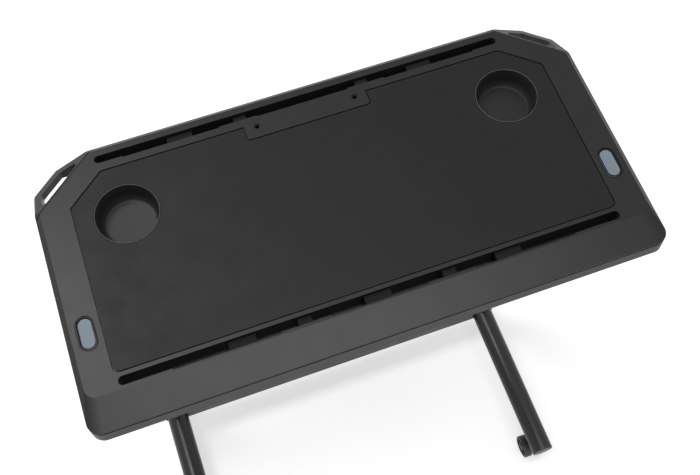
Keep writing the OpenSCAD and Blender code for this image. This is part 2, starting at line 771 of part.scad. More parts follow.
module caster_sockets() color("#1a1b1d") for (s = [-1, 1], e = [-1, 1])
    translate([s * leg_x, e * caster_y, 0]) difference() {
        union() {
            difference() {
                translate([0, 0, body_top + seat]) cylinder(r = socket_r, h = 14);
                translate([0, 0, leg_z]) rotate([90, 0, 0])
                    cylinder(r = tube_r + fit, h = through, center = true);
            }
            translate([0, 0, body_top + seat]) cylinder(r = socket_neck_r, h = socket_top - body_top);
        }
        translate([0, 0, body_top - over]) cylinder(r = stem_r + fit, h = stem_l + over * 2);
    }

// Places a caster piece: side -1 left or 1 right, end -1 near or 1 far, wheels towards the leg's end
module at_caster(side, end) translate([side * leg_x, end * caster_y, 0]) rotate(end > 0 ? 0 : 180) children();

module caster_body(side, end) color("#1c1d1f") at_caster(side, end) {
    hand = -side * end;
    difference() {
        union() {
            translate([0, trail, wheel_r]) rotate([0, 90, 0])
                cylinder(r = body_round_r, h = body_w, center = true);
            translate([-body_w / 2, 0, 0]) rotate([90, 0, 90]) linear_extrude(body_w)
                polygon([[-stem_r * 2, body_top], [-stem_r * 2, wheel_r * 2 - 6],
                    [trail - body_round_r + over, wheel_r], [trail, wheel_r],
                    [trail + wheel_r / 2, wheel_r * 1.5], [trail + ear_y, body_top]]);
            translate([0, 0, body_top - 6]) cylinder(r = stem_r + 6, h = 6);
            cylinder(r = stem_r, h = body_top + stem_l);
        }
        translate([0, 0, -over]) cylinder(r = stem_r + over, h = over + wheel_r);
        translate([0, trail, wheel_r]) rotate([0, 90, 0])
            cylinder(r = axle_r + snug, h = through, center = true);
        // Room for the brake lever between its two ears
        translate([-body_w, trail - brake_w / 2 - seat, lever_low - 1.5])
            cube([body_w * 2, brake_w + seat * 2, brake_t * 3]);
        translate([hand * brake_hinge_x, trail, brake_hinge_z]) rotate([90, 0, 0])
            cylinder(r = brake_pin_r + fit, h = brake_w * 2, center = true);
    }
}

// Half profile of a caster wheel: bore, hub, sunk outer face and rounded tread
module wheel_profile() difference() {
    union() {
        translate([axle_r + 0.01, 0]) square([wheel_r - axle_r - 2.5, wheel_w]);
        translate([axle_r + 0.01, 2.5]) square([wheel_r - axle_r - 0.01, wheel_w - 5]);
        for (y = [2.5, wheel_w - 2.5]) translate([wheel_r - 2.5, y]) circle(2.5);
    }
    translate([axle_r + 5, wheel_w - 2.5]) square([wheel_r - axle_r - 11, 5]);
}

module caster_wheels(side, end) color("#3b3d40") at_caster(side, end) for (m = [-1, 1])
    translate([m * (body_w / 2 + side_gap), trail, wheel_r]) rotate([0, 90 * m, 0])
        rotate_extrude($fn = 96) wheel_profile();

module caster_axle(side, end) color("#9a9da1") at_caster(side, end)
    translate([0, trail, wheel_r]) rotate([0, 90, 0])
        cylinder(r = axle_r, h = body_w + side_gap * 2 + wheel_w * 2 - 1, center = true);

module brake_lever(side, end) color("#101112") at_caster(side, end) {
    hand = -side * end;
    translate([hand * brake_hinge_x, trail, brake_hinge_z]) {
        rotate([90, 0, 0]) cylinder(r = brake_pin_r, h = brake_w + 5, center = true);
        rotate([90, 0, 0]) cylinder(r = brake_t / 2, h = brake_w, center = true);
        translate([hand > 0 ? 0 : brake_hinge_x - brake_l + 5, -brake_w / 2, -brake_t / 2])
            cube([brake_l - brake_hinge_x - 5, brake_w, brake_t]);
        translate([hand * (brake_l - brake_hinge_x - 5), 0, -brake_t / 2])
            cylinder(r = 6, h = brake_t + 0.8);
    }
}

top_shell();
lower_tray();
desk_mat();
cup(-1);  // cup_left
cup(1);  // cup_right
shell_screws();
accessory_inserts();
corner_handle(-1);  // corner_handle_left
corner_handle(1);  // corner_handle_right
screw_spacers();
button(-1);  // button_left
button(1);  // button_right
button_spring(-1);  // button_spring_left
button_spring(1);  // button_spring_right
release_lever(-1);  // release_lever_left
release_lever(1);  // release_lever_right
lever_bracket(-1);  // lever_bracket_left
lever_bracket(1);  // lever_bracket_right
lever_pin(-1);  // lever_pin_left
lever_pin(1);  // lever_pin_right
release_pin(-1);  // release_pin_left
release_pin(1);  // release_pin_right
head_plate(-1);  // head_plate_left
head_plate(1);  // head_plate_right
head_screws();
column_inner(-1);  // column_inner_left
column_inner(1);  // column_inner_right
slide_bush(-1);  // slide_bush_left
slide_bush(1);  // slide_bush_right
gas_rod(-1);  // gas_rod_left
gas_rod(1);  // gas_rod_right
column_outer(-1);  // column_outer_left
column_outer(1);  // column_outer_right
column_collar(-1);  // column_collar_left
column_collar(1);  // column_collar_right
gas_cylinder(-1);  // gas_cylinder_left
gas_cylinder(1);  // gas_cylinder_right
spring_foot_pins();
leg(-1);  // leg_left
leg(1);  // leg_right
leg_caps();
cross_beam();
beam_bolts();
caster_sockets();
caster_body(-1, -1);  // near_left_caster_body
caster_wheels(-1, -1);  // near_left_caster_wheels
caster_axle(-1, -1);  // near_left_caster_axle
brake_lever(-1, -1);  // near_left_brake_lever
caster_body(1, -1);  // near_right_caster_body
caster_wheels(1, -1);  // near_right_caster_wheels
caster_axle(1, -1);  // near_right_caster_axle
brake_lever(1, -1);  // near_right_brake_lever
caster_body(-1, 1);  // far_left_caster_body
caster_wheels(-1, 1);  // far_left_caster_wheels
caster_axle(-1, 1);  // far_left_caster_axle
brake_lever(-1, 1);  // far_left_brake_lever
caster_body(1, 1);  // far_right_caster_body
caster_wheels(1, 1);  // far_right_caster_wheels
caster_axle(1, 1);  // far_right_caster_axle
brake_lever(1, 1);  // far_right_brake_lever
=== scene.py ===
"""Looks of a height-adjustable desk that stands over an indoor bike trainer.

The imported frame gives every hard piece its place. This script dresses those pieces,
models the finer ones on top of them, and sets up a plain studio round the desk.
"""

import json
import logging
import math
from dataclasses import dataclass
from enum import Enum, IntEnum
from typing import Callable, Iterable, Sequence

import bmesh
import bpy
from mathutils import Matrix, Vector


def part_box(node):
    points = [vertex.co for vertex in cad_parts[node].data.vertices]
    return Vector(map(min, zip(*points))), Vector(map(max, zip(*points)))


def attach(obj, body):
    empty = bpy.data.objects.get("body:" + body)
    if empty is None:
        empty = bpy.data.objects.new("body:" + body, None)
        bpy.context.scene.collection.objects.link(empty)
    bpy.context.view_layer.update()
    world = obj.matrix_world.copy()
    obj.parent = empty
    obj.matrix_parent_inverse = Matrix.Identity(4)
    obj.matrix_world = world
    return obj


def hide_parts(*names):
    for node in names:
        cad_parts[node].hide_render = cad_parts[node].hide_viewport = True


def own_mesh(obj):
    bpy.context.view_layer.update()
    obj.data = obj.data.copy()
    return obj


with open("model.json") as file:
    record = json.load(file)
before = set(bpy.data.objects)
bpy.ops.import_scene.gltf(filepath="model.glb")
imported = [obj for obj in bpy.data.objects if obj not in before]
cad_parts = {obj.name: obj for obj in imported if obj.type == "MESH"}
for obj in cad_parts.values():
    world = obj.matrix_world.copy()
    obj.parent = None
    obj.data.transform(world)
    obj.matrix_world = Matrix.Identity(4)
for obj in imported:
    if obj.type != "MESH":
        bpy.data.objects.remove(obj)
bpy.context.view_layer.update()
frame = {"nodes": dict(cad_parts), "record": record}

LOG = logging.getLogger("desk")

Colour = tuple[float, float, float]
Span = tuple[float, float]
Socket = bpy.types.NodeSocket
Value = Socket | float | Sequence[float]
Piece = bpy.types.Object
FaceTest = Callable[[bmesh.types.BMFace], bool]
MM = 0.001
TINY = 1e-6
UP = Vector((0, 0, 1))
WHOLE = (0, 1)
# What the masks take as their 0 and their 1: the cosine between the rounded and the sharp normal
# at an edge, the openness of a groove, and the cosine between a level face's normal and the upward way
EDGE_ENDS = (0.995, 0.93)
GROOVE_ENDS = (0.88, 0.5)
LEVEL_ENDS = (0.994, 0.998)
# Half the width of the middle part of a noise that is drawn out to a whole range
NOISE_SPREAD = 0.2
# Number of rays that look for edges and grooves
EDGE_RAYS = 6
GROOVE_RAYS = 8


class Side(Enum):
    """The two sides of the desk, seen by the rider."""

    LEFT = "left"
    RIGHT = "right"

    @property
    def sign(self) -> int:
        """Sign of X on this side."""
        return -1 if self is Side.LEFT else 1


class End(Enum):
    """The two ends of a leg."""

    NEAR = "near"
    FAR = "far"


class Axis(IntEnum):
    """The three axes, by their place in a vector."""

    X = 0
    Y = 1
    Z = 2


class MixSocket(Enum):
    """Places of the colour sockets on a mix node."""

    SHARE = 0
    FIRST = 6
    SECOND = 7
    RESULT = 2


def shade(red: float, green: float, blue: float) -> Colour:
    """Turns display levels from 0 to 255 into a linear colour.

    Args:
        red: Display level of red.
        green: Display level of green.
        blue: Display level of blue.

    Returns:
        The linear colour.
    """
    def linear(level: float) -> float:
        """Linear value of one display level."""
        part = level / 255
        return part / 12.92 if part <= 0.04045 else ((part + 0.055) / 1.055) ** 2.4

    return linear(red), linear(green), linear(blue)


def grey(level: float) -> Colour:
    """Turns one display level from 0 to 255 into a linear grey."""
    return shade(level, level, level)


def scaled(colour: Colour, factor: float) -> Colour:
    """Makes a colour darker or lighter, but no lighter than full."""
    return tuple(min(1, part * factor) for part in colour)


# Painted shade laid by an occlusion mask into the grooves of plastic and rubber, and into those of metal
GROOVE_SHADE = grey(8)
METAL_GROOVE_SHADE = grey(9)


@dataclass(frozen=True)
class Box:
    """Upright box round a solid.

    Args:
        low: Lowest corner.
        high: Highest corner.
    """

    low: Vector
    high: Vector

    @classmethod
    def of(cls, node: str) -> "Box":
        """Box of a frame piece."""
        return cls(*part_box(node))

    @property
    def middle(self) -> Vector:
        """Middle of the box."""
        return (self.low + self.high) / 2

    @property
    def size(self) -> Vector:
        """Length of the box along each axis."""
        return self.high - self.low

    def face(self, axis: Axis, sign: int) -> Vector:
        """Finds the middle of one face.

        Args:
            axis: Axis on which the face lies.
            sign: Which of the two ends of that axis.

        Returns:
            The middle of the face.
        """
        place = self.middle
        place[axis] = (self.high if sign > 0 else self.low)[axis]
        return place


@dataclass(frozen=True)
class Pattern:
    """Size of a noise pattern.

    Args:
        size: Size of the features in metres.
        detail: Number of finer layers.
    """

    size: float
    detail: float


class NodeBench:
    """Adds and links the nodes of one shader tree."""

    def __init__(self, tree: bpy.types.NodeTree) -> None:
        """Starts with the tree empty."""
        self.tree = tree
        self.tree.nodes.clear()

    def feed(self, value: Value, socket: Socket) -> None:
        """Links an output to an input, or sets the input to a plain value.

        Args:
            value: Output, number, vector or colour.
            socket: Input to feed.
        """
        if isinstance(value, Socket):
            self.tree.links.new(value, socket)
        else:
            socket.default_value = (*value, 1) if socket.type == "RGBA" else value

    def add(self, kind: str, inputs: dict[str | int, Value] | None = None,
            **settings: object) -> bpy.types.Node:
        """Adds one node.

        Args:
            kind: Kind of node, without the words in front that all kinds share.
            inputs: What goes into its inputs, by name or place.
            **settings: Its settings.

        Returns:
            The node.
        """
        node = self.tree.nodes.new(f"ShaderNode{kind}")
        for name, setting in settings.items():
            setattr(node, name, setting)
        for name, value in (inputs or {}).items():
            self.feed(value, node.inputs[name])
        return node

    def maths(self, operation: str, *values: Value) -> Socket:
        """Combines numbers by a named operation."""
        return self.add("Math", dict(enumerate(values)), operation=operation).outputs["Value"]

    def dot(self, first: Value, second: Value) -> Socket:
        """Length of one vector along another."""
        return self.add("VectorMath", {0: first, 1: second}, operation="DOT_PRODUCT").outputs["Value"]

    def remap(self, value: Socket, source: Span, target: Span) -> Socket:
        """Maps one range of values to another and clamps it.

        Args:
            value: Value to map.
            source: Range that comes in.
            target: Range that goes out.

        Returns:
            The mapped value.
        """
        ends = dict(zip(("From Min", "From Max", "To Min", "To Max"), source + target))
        return self.add("MapRange", {"Value": value, **ends}).outputs["Result"]

    def white_rays(self) -> Socket:
        """Finds the rays that meet white.

        Returns:
            A mask that is 1 for the camera's rays, and for those that a surface mirrors or lets through.
        """
        path = self.add("LightPath").outputs
        camera, glossy, through = (path[f"Is {kind} Ray"] for kind in ("Camera", "Glossy", "Transmission"))
        return self.maths("MAXIMUM", self.maths("MAXIMUM", camera, glossy), through)


class ShaderBench(NodeBench):
    """Builds one material round a principled shader."""

    def __init__(self, name: str, constants: dict[str, Value]) -> None:
        """Starts the material.

        Args:
            name: Name of the material.
            constants: Plain values of the shader's own inputs.
        """
        self.material = bpy.data.materials.new(name)
        self.material.use_nodes = True
        super().__init__(self.material.node_tree)
        self.shader = self.add("BsdfPrincipled", constants)
        self.add("OutputMaterial", {"Surface": self.shader.outputs["BSDF"]})
        self.place = self.add("TexCoord").outputs["Object"]

    def stretched(self, scale: Sequence[float]) -> Socket:
        """Object coordinates scaled along each axis."""
        return self.add("Mapping", {"Scale": scale, "Vector": self.place}).outputs["Vector"]

    def noise(self, pattern: Pattern, where: Socket | None = None) -> Socket:
        """Adds a noise whose features have a real size.

        Args:
            pattern: Size of the noise.
            where: Coordinates to use in place of the object's own.

        Returns:
            The noise from 0 to 1.
        """
        inputs = {"Vector": where or self.place, "Scale": 1 / pattern.size, "Detail": pattern.detail}
        return self.add("TexNoise", inputs).outputs["Fac"]

    def drawn_out(self, noise: Socket, target: Span, spread: float = NOISE_SPREAD) -> Socket:
        """Draws the middle part of a noise out to a range of values.

        Args:
            noise: Noise to draw out.
            target: Range that goes out.
            spread: Half the width of that middle part.

        Returns:
            The drawn out noise.
        """
        return self.remap(noise, (0.5 - spread, 0.5 + spread), target)

    def cells(self, size: float) -> Socket:
        """Distance to the nearest cell centre of a pebbled pattern of a real size."""
        return self.add("TexVoronoi", {"Vector": self.place, "Scale": 1 / size}).outputs["Distance"]

    def blend(self, share: Socket, under: Value, top: Colour) -> Socket:
        """Lays one colour over another.

        Args:
            share: Share of the top colour.
            under: Colour beneath.
            top: Colour on top.

        Returns:
            The mixed colour.
        """
        inputs = {MixSocket.SHARE.value: share, MixSocket.FIRST.value: under, MixSocket.SECOND.value: top}
        return self.add("Mix", inputs, data_type="RGBA").outputs[MixSocket.RESULT.value]

    def soft_edge(self, radius: float) -> tuple[Socket, Socket]:
        """Rounds sharp edges in the shading and finds where they are.

        Args:
            radius: Radius of the rounding in metres.

        Returns:
            The rounded normal, and a mask that is 1 on the edges.
        """
        rounded = self.add("Bevel", {"Radius": radius}, samples=EDGE_RAYS).outputs["Normal"]
        sharp = self.add("NewGeometry").outputs["Normal"]
        return rounded, self.remap(self.dot(rounded, sharp), EDGE_ENDS, WHOLE)

    def crevice(self, reach: float) -> Socket:
        """Finds grooves and narrow gaps, where little light comes in.

        Args:
            reach: How far away a wall still counts, in metres.

        Returns:
            A mask that is 1 deep in a groove.
        """
        openness = self.add("AmbientOcclusion", {"Distance": reach}, samples=GROOVE_RAYS).outputs["AO"]
        return self.remap(openness, GROOVE_ENDS, WHOLE)

    def between(self, span: Span, way: Sequence[float], soft: float) -> Socket:
        """Finds what lies between two distances along a direction, alike on both sides of the desk.

        Args:
            span: Lower and upper distance in metres.
            way: Direction on the right side of the desk.
            soft: Width of the transition inside each end.

        Returns:
            A mask that is 0 outside the two distances.
        """
        split = self.add("SeparateXYZ", {"Vector": self.place}).outputs
        mirrored = {"X": self.maths("ABSOLUTE", split["X"]), "Y": split["Y"], "Z": split["Z"]}
        along = self.dot(self.add("CombineXYZ", mirrored).outputs["Vector"], way)
        low, high = span
        rising = self.remap(along, (low, low + soft), WHOLE)
        falling = self.remap(along, (high - soft, high), (1, 0))
        return self.maths("MULTIPLY", rising, falling)

    def level(self) -> Socket:
        """Finds faces that look straight up."""
        facing = self.add("NewGeometry").outputs["True Normal"]
        return self.remap(self.dot(facing, UP), LEVEL_ENDS, WHOLE)

    def bump(self, height: Socket, depth: float, strength: float, normal: Socket) -> Socket:
        """Turns a height into a bumped normal.

        Args:
            height: Height from 0 to 1.
            depth: Real depth in metres.
            strength: Strength from 0 to 1.
            normal: Normal to start from.

        Returns:
            The bumped normal.
        """
        inputs = {"Height": height, "Distance": depth, "Strength": strength, "Normal": normal}
        return self.add("Bump", inputs).outputs["Normal"]

    def dress(self, colour: Socket, roughness: Socket, normal: Socket) -> bpy.types.Material:
        """Links the surface's looks to the shader.

        Args:
            colour: Base colour.
            roughness: Roughness.
            normal: Normal.

        Returns:
            The finished material.
        """
        for name, value in (("Base Color", colour), ("Roughness", roughness), ("Normal", normal)):
            self.feed(value, self.shader.inputs[name])
        return self.material


@dataclass(frozen=True)
class Band:
    """Stretch of a surface with painted shade or a painted highlight laid over it, such as the shade along a
    parting line.

    Args:
        span: Lower and upper distance along the way, in metres.
        tone: Colour of the painted shade or highlight on the stretch.
        rougher: What is added to the roughness.
        way: Direction on the right side of the desk.
        soft: Width of the transition inside each end.
        level: Whether it keeps to faces that look straight up.
    """

    span: Span
    tone: Colour
    rougher: float = 0.5
    way: tuple[float, float, float] = (0, 0, 1)
    soft: float = 0.05 * MM
    level: bool = False

    def lay(self, bench: ShaderBench, colour: Socket, roughness: Socket) -> tuple[Socket, Socket]:
        """Lays the band over a material.

        Args:
            bench: Bench of the material.
            colour: Colour beneath.
            roughness: Roughness beneath.

        Returns:
            The colour and the roughness with the band.
        """
        mask = bench.between(self.span, self.way, self.soft)
        if self.level:
            mask = bench.maths("MULTIPLY", mask, bench.level())
        colour = bench.blend(mask, colour, self.tone)
        return colour, bench.maths("MULTIPLY_ADD", mask, self.rougher, roughness)


@dataclass(frozen=True)
class Finish:
    """Look of one kind of surface.

    Args:
        name: Name of the finish.
        colour: Main colour.
        roughness: Mean roughness.
        specular: Strength of the surface reflection.
        edge: Radius of the softened edges in metres.
        clouds: Pattern of the darker and lighter clouds in the main colour.
        tones: How dark and how light they are.
        smears: Pattern of the duller and glossier patches.
        uneven: How far the roughness falls and rises in them.
    """

    name: str
    colour: Colour
    roughness: float = 0.5
    specular: float = 0.5
    edge: float = 0.5 * MM
    clouds: Pattern = Pattern(90 * MM, 3)
    tones: Span = (0.95, 1.05)
    smears: Pattern = Pattern(30 * MM, 5)
    uneven: Span = (0.012, 0.012)

    def start(self, metallic: float = 0) -> tuple[ShaderBench, Socket, Socket]:
        """Starts the material.

        Args:
            metallic: 1 for bare metal, or else 0.

        Returns:
            The bench, the softened normal, and a mask of the edges.
        """
        bench = ShaderBench(self.name, {"Specular IOR Level": self.specular, "Metallic": metallic})
        return bench, *bench.soft_edge(self.edge)

    def clouded(self, bench: ShaderBench, share: Socket) -> Socket:
        """Main colour between its darkest and its lightest tone."""
        return bench.blend(share, *(scaled(self.colour, tone) for tone in self.tones))

    def smeared(self, bench: ShaderBench, noise: Socket) -> Socket:
        """Roughness round its mean, as a noise says."""
        less, more = self.uneven
        return bench.drawn_out(noise, (self.roughness - less, self.roughness + more))

    def build(self) -> bpy.types.Material:
        """Builds the material, in a way of its own for each kind of surface."""
        raise NotImplementedError


@dataclass(frozen=True, kw_only=True)
class MouldedPlastic(Finish):
    """Plastic from a textured mould, with lighter edges, partly rubbed wear and partly a painted highlight.

    Args:
        wear_and_highlight: Colour of the lighter edges, partly rubbed wear and partly painted highlight.
        rubs: Pattern of the rubbed places.
        rubbed: Least and greatest share of that lighter colour on an edge.
        groove: How near the walls of a groove with painted shade lie, in metres.
        grain: Pattern of the mould grain.
        depth: Depth of the grain in metres.
        relief: Strength of the grain.
        cloud_spread: Half the width of the part of the noise that makes the clouds.
        bands: Stretches with painted shade or a painted highlight.
    """

    wear_and_highlight: Colour
    rubs: Pattern = Pattern(18 * MM, 4)
    rubbed: Span = (0.12, 0.6)
    groove: float = 5 * MM
    grain: Pattern = Pattern(0.7 * MM, 3)
    depth: float = 0.06 * MM
    relief: float = 0.5
    cloud_spread: float = 0.15
    bands: tuple[Band, ...] = ()

    def build(self) -> bpy.types.Material:
        """Builds the material.

        Returns:
            The finished material.
        """
        bench, normal, edge = self.start()
        base = self.clouded(bench, bench.drawn_out(bench.noise(self.clouds), WHOLE, self.cloud_spread))
        rubbed = bench.drawn_out(bench.noise(self.rubs), self.rubbed)
        # Lighter edges: rubbed wear in patches, and a painted highlight along the edges
        colour = bench.blend(bench.maths("MULTIPLY", edge, rubbed), base, self.wear_and_highlight)
        # Painted shade in grooves and narrow gaps, where little light comes in
        colour = bench.blend(bench.crevice(self.groove), colour, GROOVE_SHADE)
        roughness = self.smeared(bench, bench.noise(self.smears))
        for band in self.bands:
            colour, roughness = band.lay(bench, colour, roughness)
        grain = bench.bump(bench.noise(self.grain), self.depth, self.relief, normal)
        return bench.dress(colour, roughness, grain)


@dataclass(frozen=True, kw_only=True)
class PebbledRubber(Finish):
    """Soft rubber sheet with a fine pebbled face.

    Args:
        groove: How near the walls of a groove with painted shade lie, in metres.
        pebble: Size of a pebble in metres.
        pebble_depth: Depth between the pebbles in metres.
        skin: Pattern of the fine skin on the pebbles.
        skin_depth: Depth of that skin in metres.
        paler: How much lighter the painted highlight on an edge is.
        edge_share: Share of that painted highlight on an edge.
    """

    specular: float = 0.14
    edge: float = 0.6 * MM
    clouds: Pattern = Pattern(120 * MM, 4)
    tones: Span = (0.92, 1.08)
    smears: Pattern = Pattern(40 * MM, 6)
    uneven: Span = (0.06, 0.05)
    groove: float = 5 * MM
    pebble: float = 1.2 * MM
    pebble_depth: float = 0.08 * MM
    skin: Pattern = Pattern(0.4 * MM, 2)
    skin_depth: float = 0.03 * MM
    paler: float = 2
    edge_share: float = 0.1

    def build(self) -> bpy.types.Material:
        """Builds the material.

        Returns:
            The finished material.
        """
        bench, normal, edge = self.start()
        base = self.clouded(bench, bench.drawn_out(bench.noise(self.clouds), WHOLE))
        # Painted highlight along the mat's edges
        pale = scaled(self.colour, self.paler)
        colour = bench.blend(bench.remap(edge, WHOLE, (0, self.edge_share)), base, pale)
        # Painted shade in grooves and narrow gaps, where little light comes in
        colour = bench.blend(bench.crevice(self.groove), colour, GROOVE_SHADE)
        roughness = self.smeared(bench, bench.noise(self.smears))
        pebbles = bench.bump(bench.cells(self.pebble), self.pebble_depth, 0.45, normal)
        skin = bench.bump(bench.noise(self.skin), self.skin_depth, 0.4, pebbles)
        return bench.dress(colour, roughness, skin)


@dataclass(frozen=True, kw_only=True)
class PaintedSteel(Finish):
    """Powder coat or gloss paint on steel, with a few chips on its edges.

    Args:
        chips: Pattern of the chips.
        chip_ends: Part of that pattern in which a chip begins and is whole.
        primer: Colour under the paint.
        wiped: Scale of the smears along each axis, which draws them out along Z.
        peel: Pattern of the orange peel.
        peel_depth: Depth of the peel in metres.
        relief: Strength of the peel.
    """

    specular: float = 0.3
    edge: float = 0.8 * MM
    clouds: Pattern = Pattern(60 * MM, 3)
    tones: Span = (0.9, 1.12)
    smears: Pattern = Pattern(50 * MM, 5)
    uneven: Span = (0.05, 0.06)
    chips: Pattern = Pattern(4 * MM, 4)
    chip_ends: Span = (0.62, 0.72)
    primer: Colour = grey(96)
    wiped: tuple[float, float, float] = (1, 1, 0.35)
    peel: Pattern = Pattern(2.2 * MM, 2)
    peel_depth: float = 0.03 * MM
    relief: float = 0.35

    def build(self) -> bpy.types.Material:
        """Builds the material.

        Returns:
            The finished material.
        """
        bench, normal, edge = self.start()
        base = self.clouded(bench, bench.drawn_out(bench.noise(self.clouds), WHOLE))
        chips = bench.remap(bench.noise(self.chips), self.chip_ends, WHOLE)
        colour = bench.blend(bench.maths("MULTIPLY", edge, chips), base, self.primer)
        roughness = self.smeared(bench, bench.noise(self.smears, bench.stretched(self.wiped)))
        peel = bench.bump(bench.noise(self.peel), self.peel_depth, self.relief, normal)
        return bench.dress(colour, roughness, peel)


@dataclass(frozen=True, kw_only=True)
class BareMetal(Finish):
    """Drawn or plated metal with fine upright lines.

    Args:
        drawn: Scale of the lines along each axis, which draws them out along Z.
        line_depth: Depth of a line in metres.
        relief: Strength of the lines.
        brighter: How much lighter a rubbed edge is.
        edge_share: Share of that lighter colour on an edge.
        groove: How near the walls of a groove with painted shade lie, in metres.
    """

    edge: float = 0.3 * MM
    clouds: Pattern = Pattern(10 * MM, 4)
    tones: Span = (0.82, 1)
    smears: Pattern = Pattern(0.6 * MM, 4)
    uneven: Span = (0.08, 0.1)
    drawn: tuple[float, float, float] = (1, 1, 0.05)
    line_depth: float = 0.02 * MM
    relief: float = 0.3
    brighter: float = 1.25
    edge_share: float = 0.3
    groove: float = 6 * MM

    def build(self) -> bpy.types.Material:
        """Builds the material.

        Returns:
            The finished material.
        """
        bench, normal, edge = self.start(metallic=1)
        base = self.clouded(bench, bench.noise(self.clouds))
        bright = scaled(self.colour, self.brighter)
        colour = bench.blend(bench.remap(edge, WHOLE, (0, self.edge_share)), base, bright)
        # Painted shade in grooves and narrow gaps, where little light comes in
        colour = bench.blend(bench.crevice(self.groove), colour, METAL_GROOVE_SHADE)
        lines = bench.noise(self.smears, bench.stretched(self.drawn))
        normal = bench.bump(lines, self.line_depth, self.relief, normal)
        return bench.dress(colour, self.smeared(bench, lines), normal)


class Finishes:
    """Every finish of the desk, built once and handed out by name."""

    def __init__(self) -> None:
        """Builds the finishes."""
        finishes = (
            *self.deck_plastics(),
            MouldedPlastic("cap_plastic", grey(38), wear_and_highlight=grey(70), roughness=0.45),
            MouldedPlastic("button_plastic", shade(109, 121, 130), wear_and_highlight=shade(147, 161, 171), specular=0.2,
                           grain=Pattern(0.5 * MM, 3), edge=0.6 * MM),
            MouldedPlastic("bush_plastic", grey(196), wear_and_highlight=grey(220)),
            MouldedPlastic("caster_plastic", grey(30), wear_and_highlight=grey(62), roughness=0.4),
            MouldedPlastic("wheel_plastic", grey(52), wear_and_highlight=grey(92), roughness=0.55),
            PebbledRubber("mat", grey(25)),
            PaintedSteel("black_paint", grey(30), roughness=0.42),
            PaintedSteel("leg_gloss", grey(16), roughness=0.34, specular=0.42),
            PaintedSteel("dark_screw", grey(34), roughness=0.4, peel=Pattern(0.8 * MM, 2)),
            BareMetal("zinc", grey(190), roughness=0.36),
            # The insert metal is darker than bare metal, which paints the shade inside the threaded bores
            BareMetal("insert_metal", grey(52)),
            BareMetal("rod_chrome", grey(215), roughness=0.12),
        )
        self.materials = {finish.name: finish.build() for finish in finishes}

    @staticmethod
    def deck_plastics() -> tuple[Finish, ...]:
        """Describes the deck's plastics, with painted shade along the fold at the slanted corners, on the
        webs, in the parting groove and in the cups, and a painted highlight on the cup rims.

        Returns:
            The finishes of the shell, the tray and the cups.
        """
        deck_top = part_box("top_shell")[1].z
        cup_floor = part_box("cup_left")[0].z + CupWell.wall
        corner_turn = math.radians(40)
        corner_way = (math.sin(corner_turn), math.cos(corner_turn), 0)
        # Painted shade: a near-black line along the fold at the slanted corners of the shell
        crease_shade = Band((350.5 * MM, 353 * MM), grey(5), way=corner_way)
        # Painted shade on the level tops of the webs deep in the device slots
        webs = Band((deck_top - 8.6 * MM, deck_top - 7.4 * MM), grey(22), level=True)
        # Painted shade: a near-black line in the parting groove between shell and tray
        parting = Band((deck_top - 13.6 * MM, deck_top - 11.7 * MM), grey(5))
        # Painted highlight: a lighter ring on the cup rims
        rim = Band((deck_top - 0.35 * MM, deck_top + 0.5 * MM), grey(58), rougher=0)
        # Painted shade inside the cups from floor to rim, with more roughness
        hollow_shade = Band((cup_floor, deck_top - 0.4 * MM), grey(27), soft=1.1 * MM)
        return (
            MouldedPlastic("deck_shell", grey(31), 0.38, 0.2, wear_and_highlight=grey(80), bands=(webs, crease_shade)),
            MouldedPlastic("deck_tray", grey(50), 0.42, 0.2, wear_and_highlight=grey(88), bands=(parting,)),
            MouldedPlastic("cup_plastic", grey(31), 0.4, 0.2, wear_and_highlight=grey(104), bands=(rim, hollow_shade)),
        )

    def dress_frame(self) -> None:
        """Gives every piece of the frame the finish of its material slot."""
        slots = {part["node"]: part["material_slot"] for part in frame["record"]["subparts"]}
        for node, piece in frame["nodes"].items():
            self.dress(piece, slots[node])
            LOG.info("dressed %s in %s", node, slots[node])

    def dress(self, piece: Piece, slot: str) -> None:
        """Gives one piece one finish."""
        piece.data.materials.clear()
        piece.data.materials.append(self.materials[slot])

    def fit(self, piece: Piece, slot: str, body: str, nodes: Iterable[str] = (), angle: float = 35) -> None:
        """Smooths a new piece, dresses it and puts it on its body.

        Args:
            piece: The new piece.
            slot: Name of its finish.
            body: Body that it moves with.
            nodes: Frame pieces that it stands for.
            angle: Angle in degrees below which an edge is shaded smooth.
        """
        Bench.smooth(piece, angle)
        self.dress(piece, slot)
        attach(piece, body)
        for node in nodes:
            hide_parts(node)
        LOG.info("made %s on %s", piece.name, body)


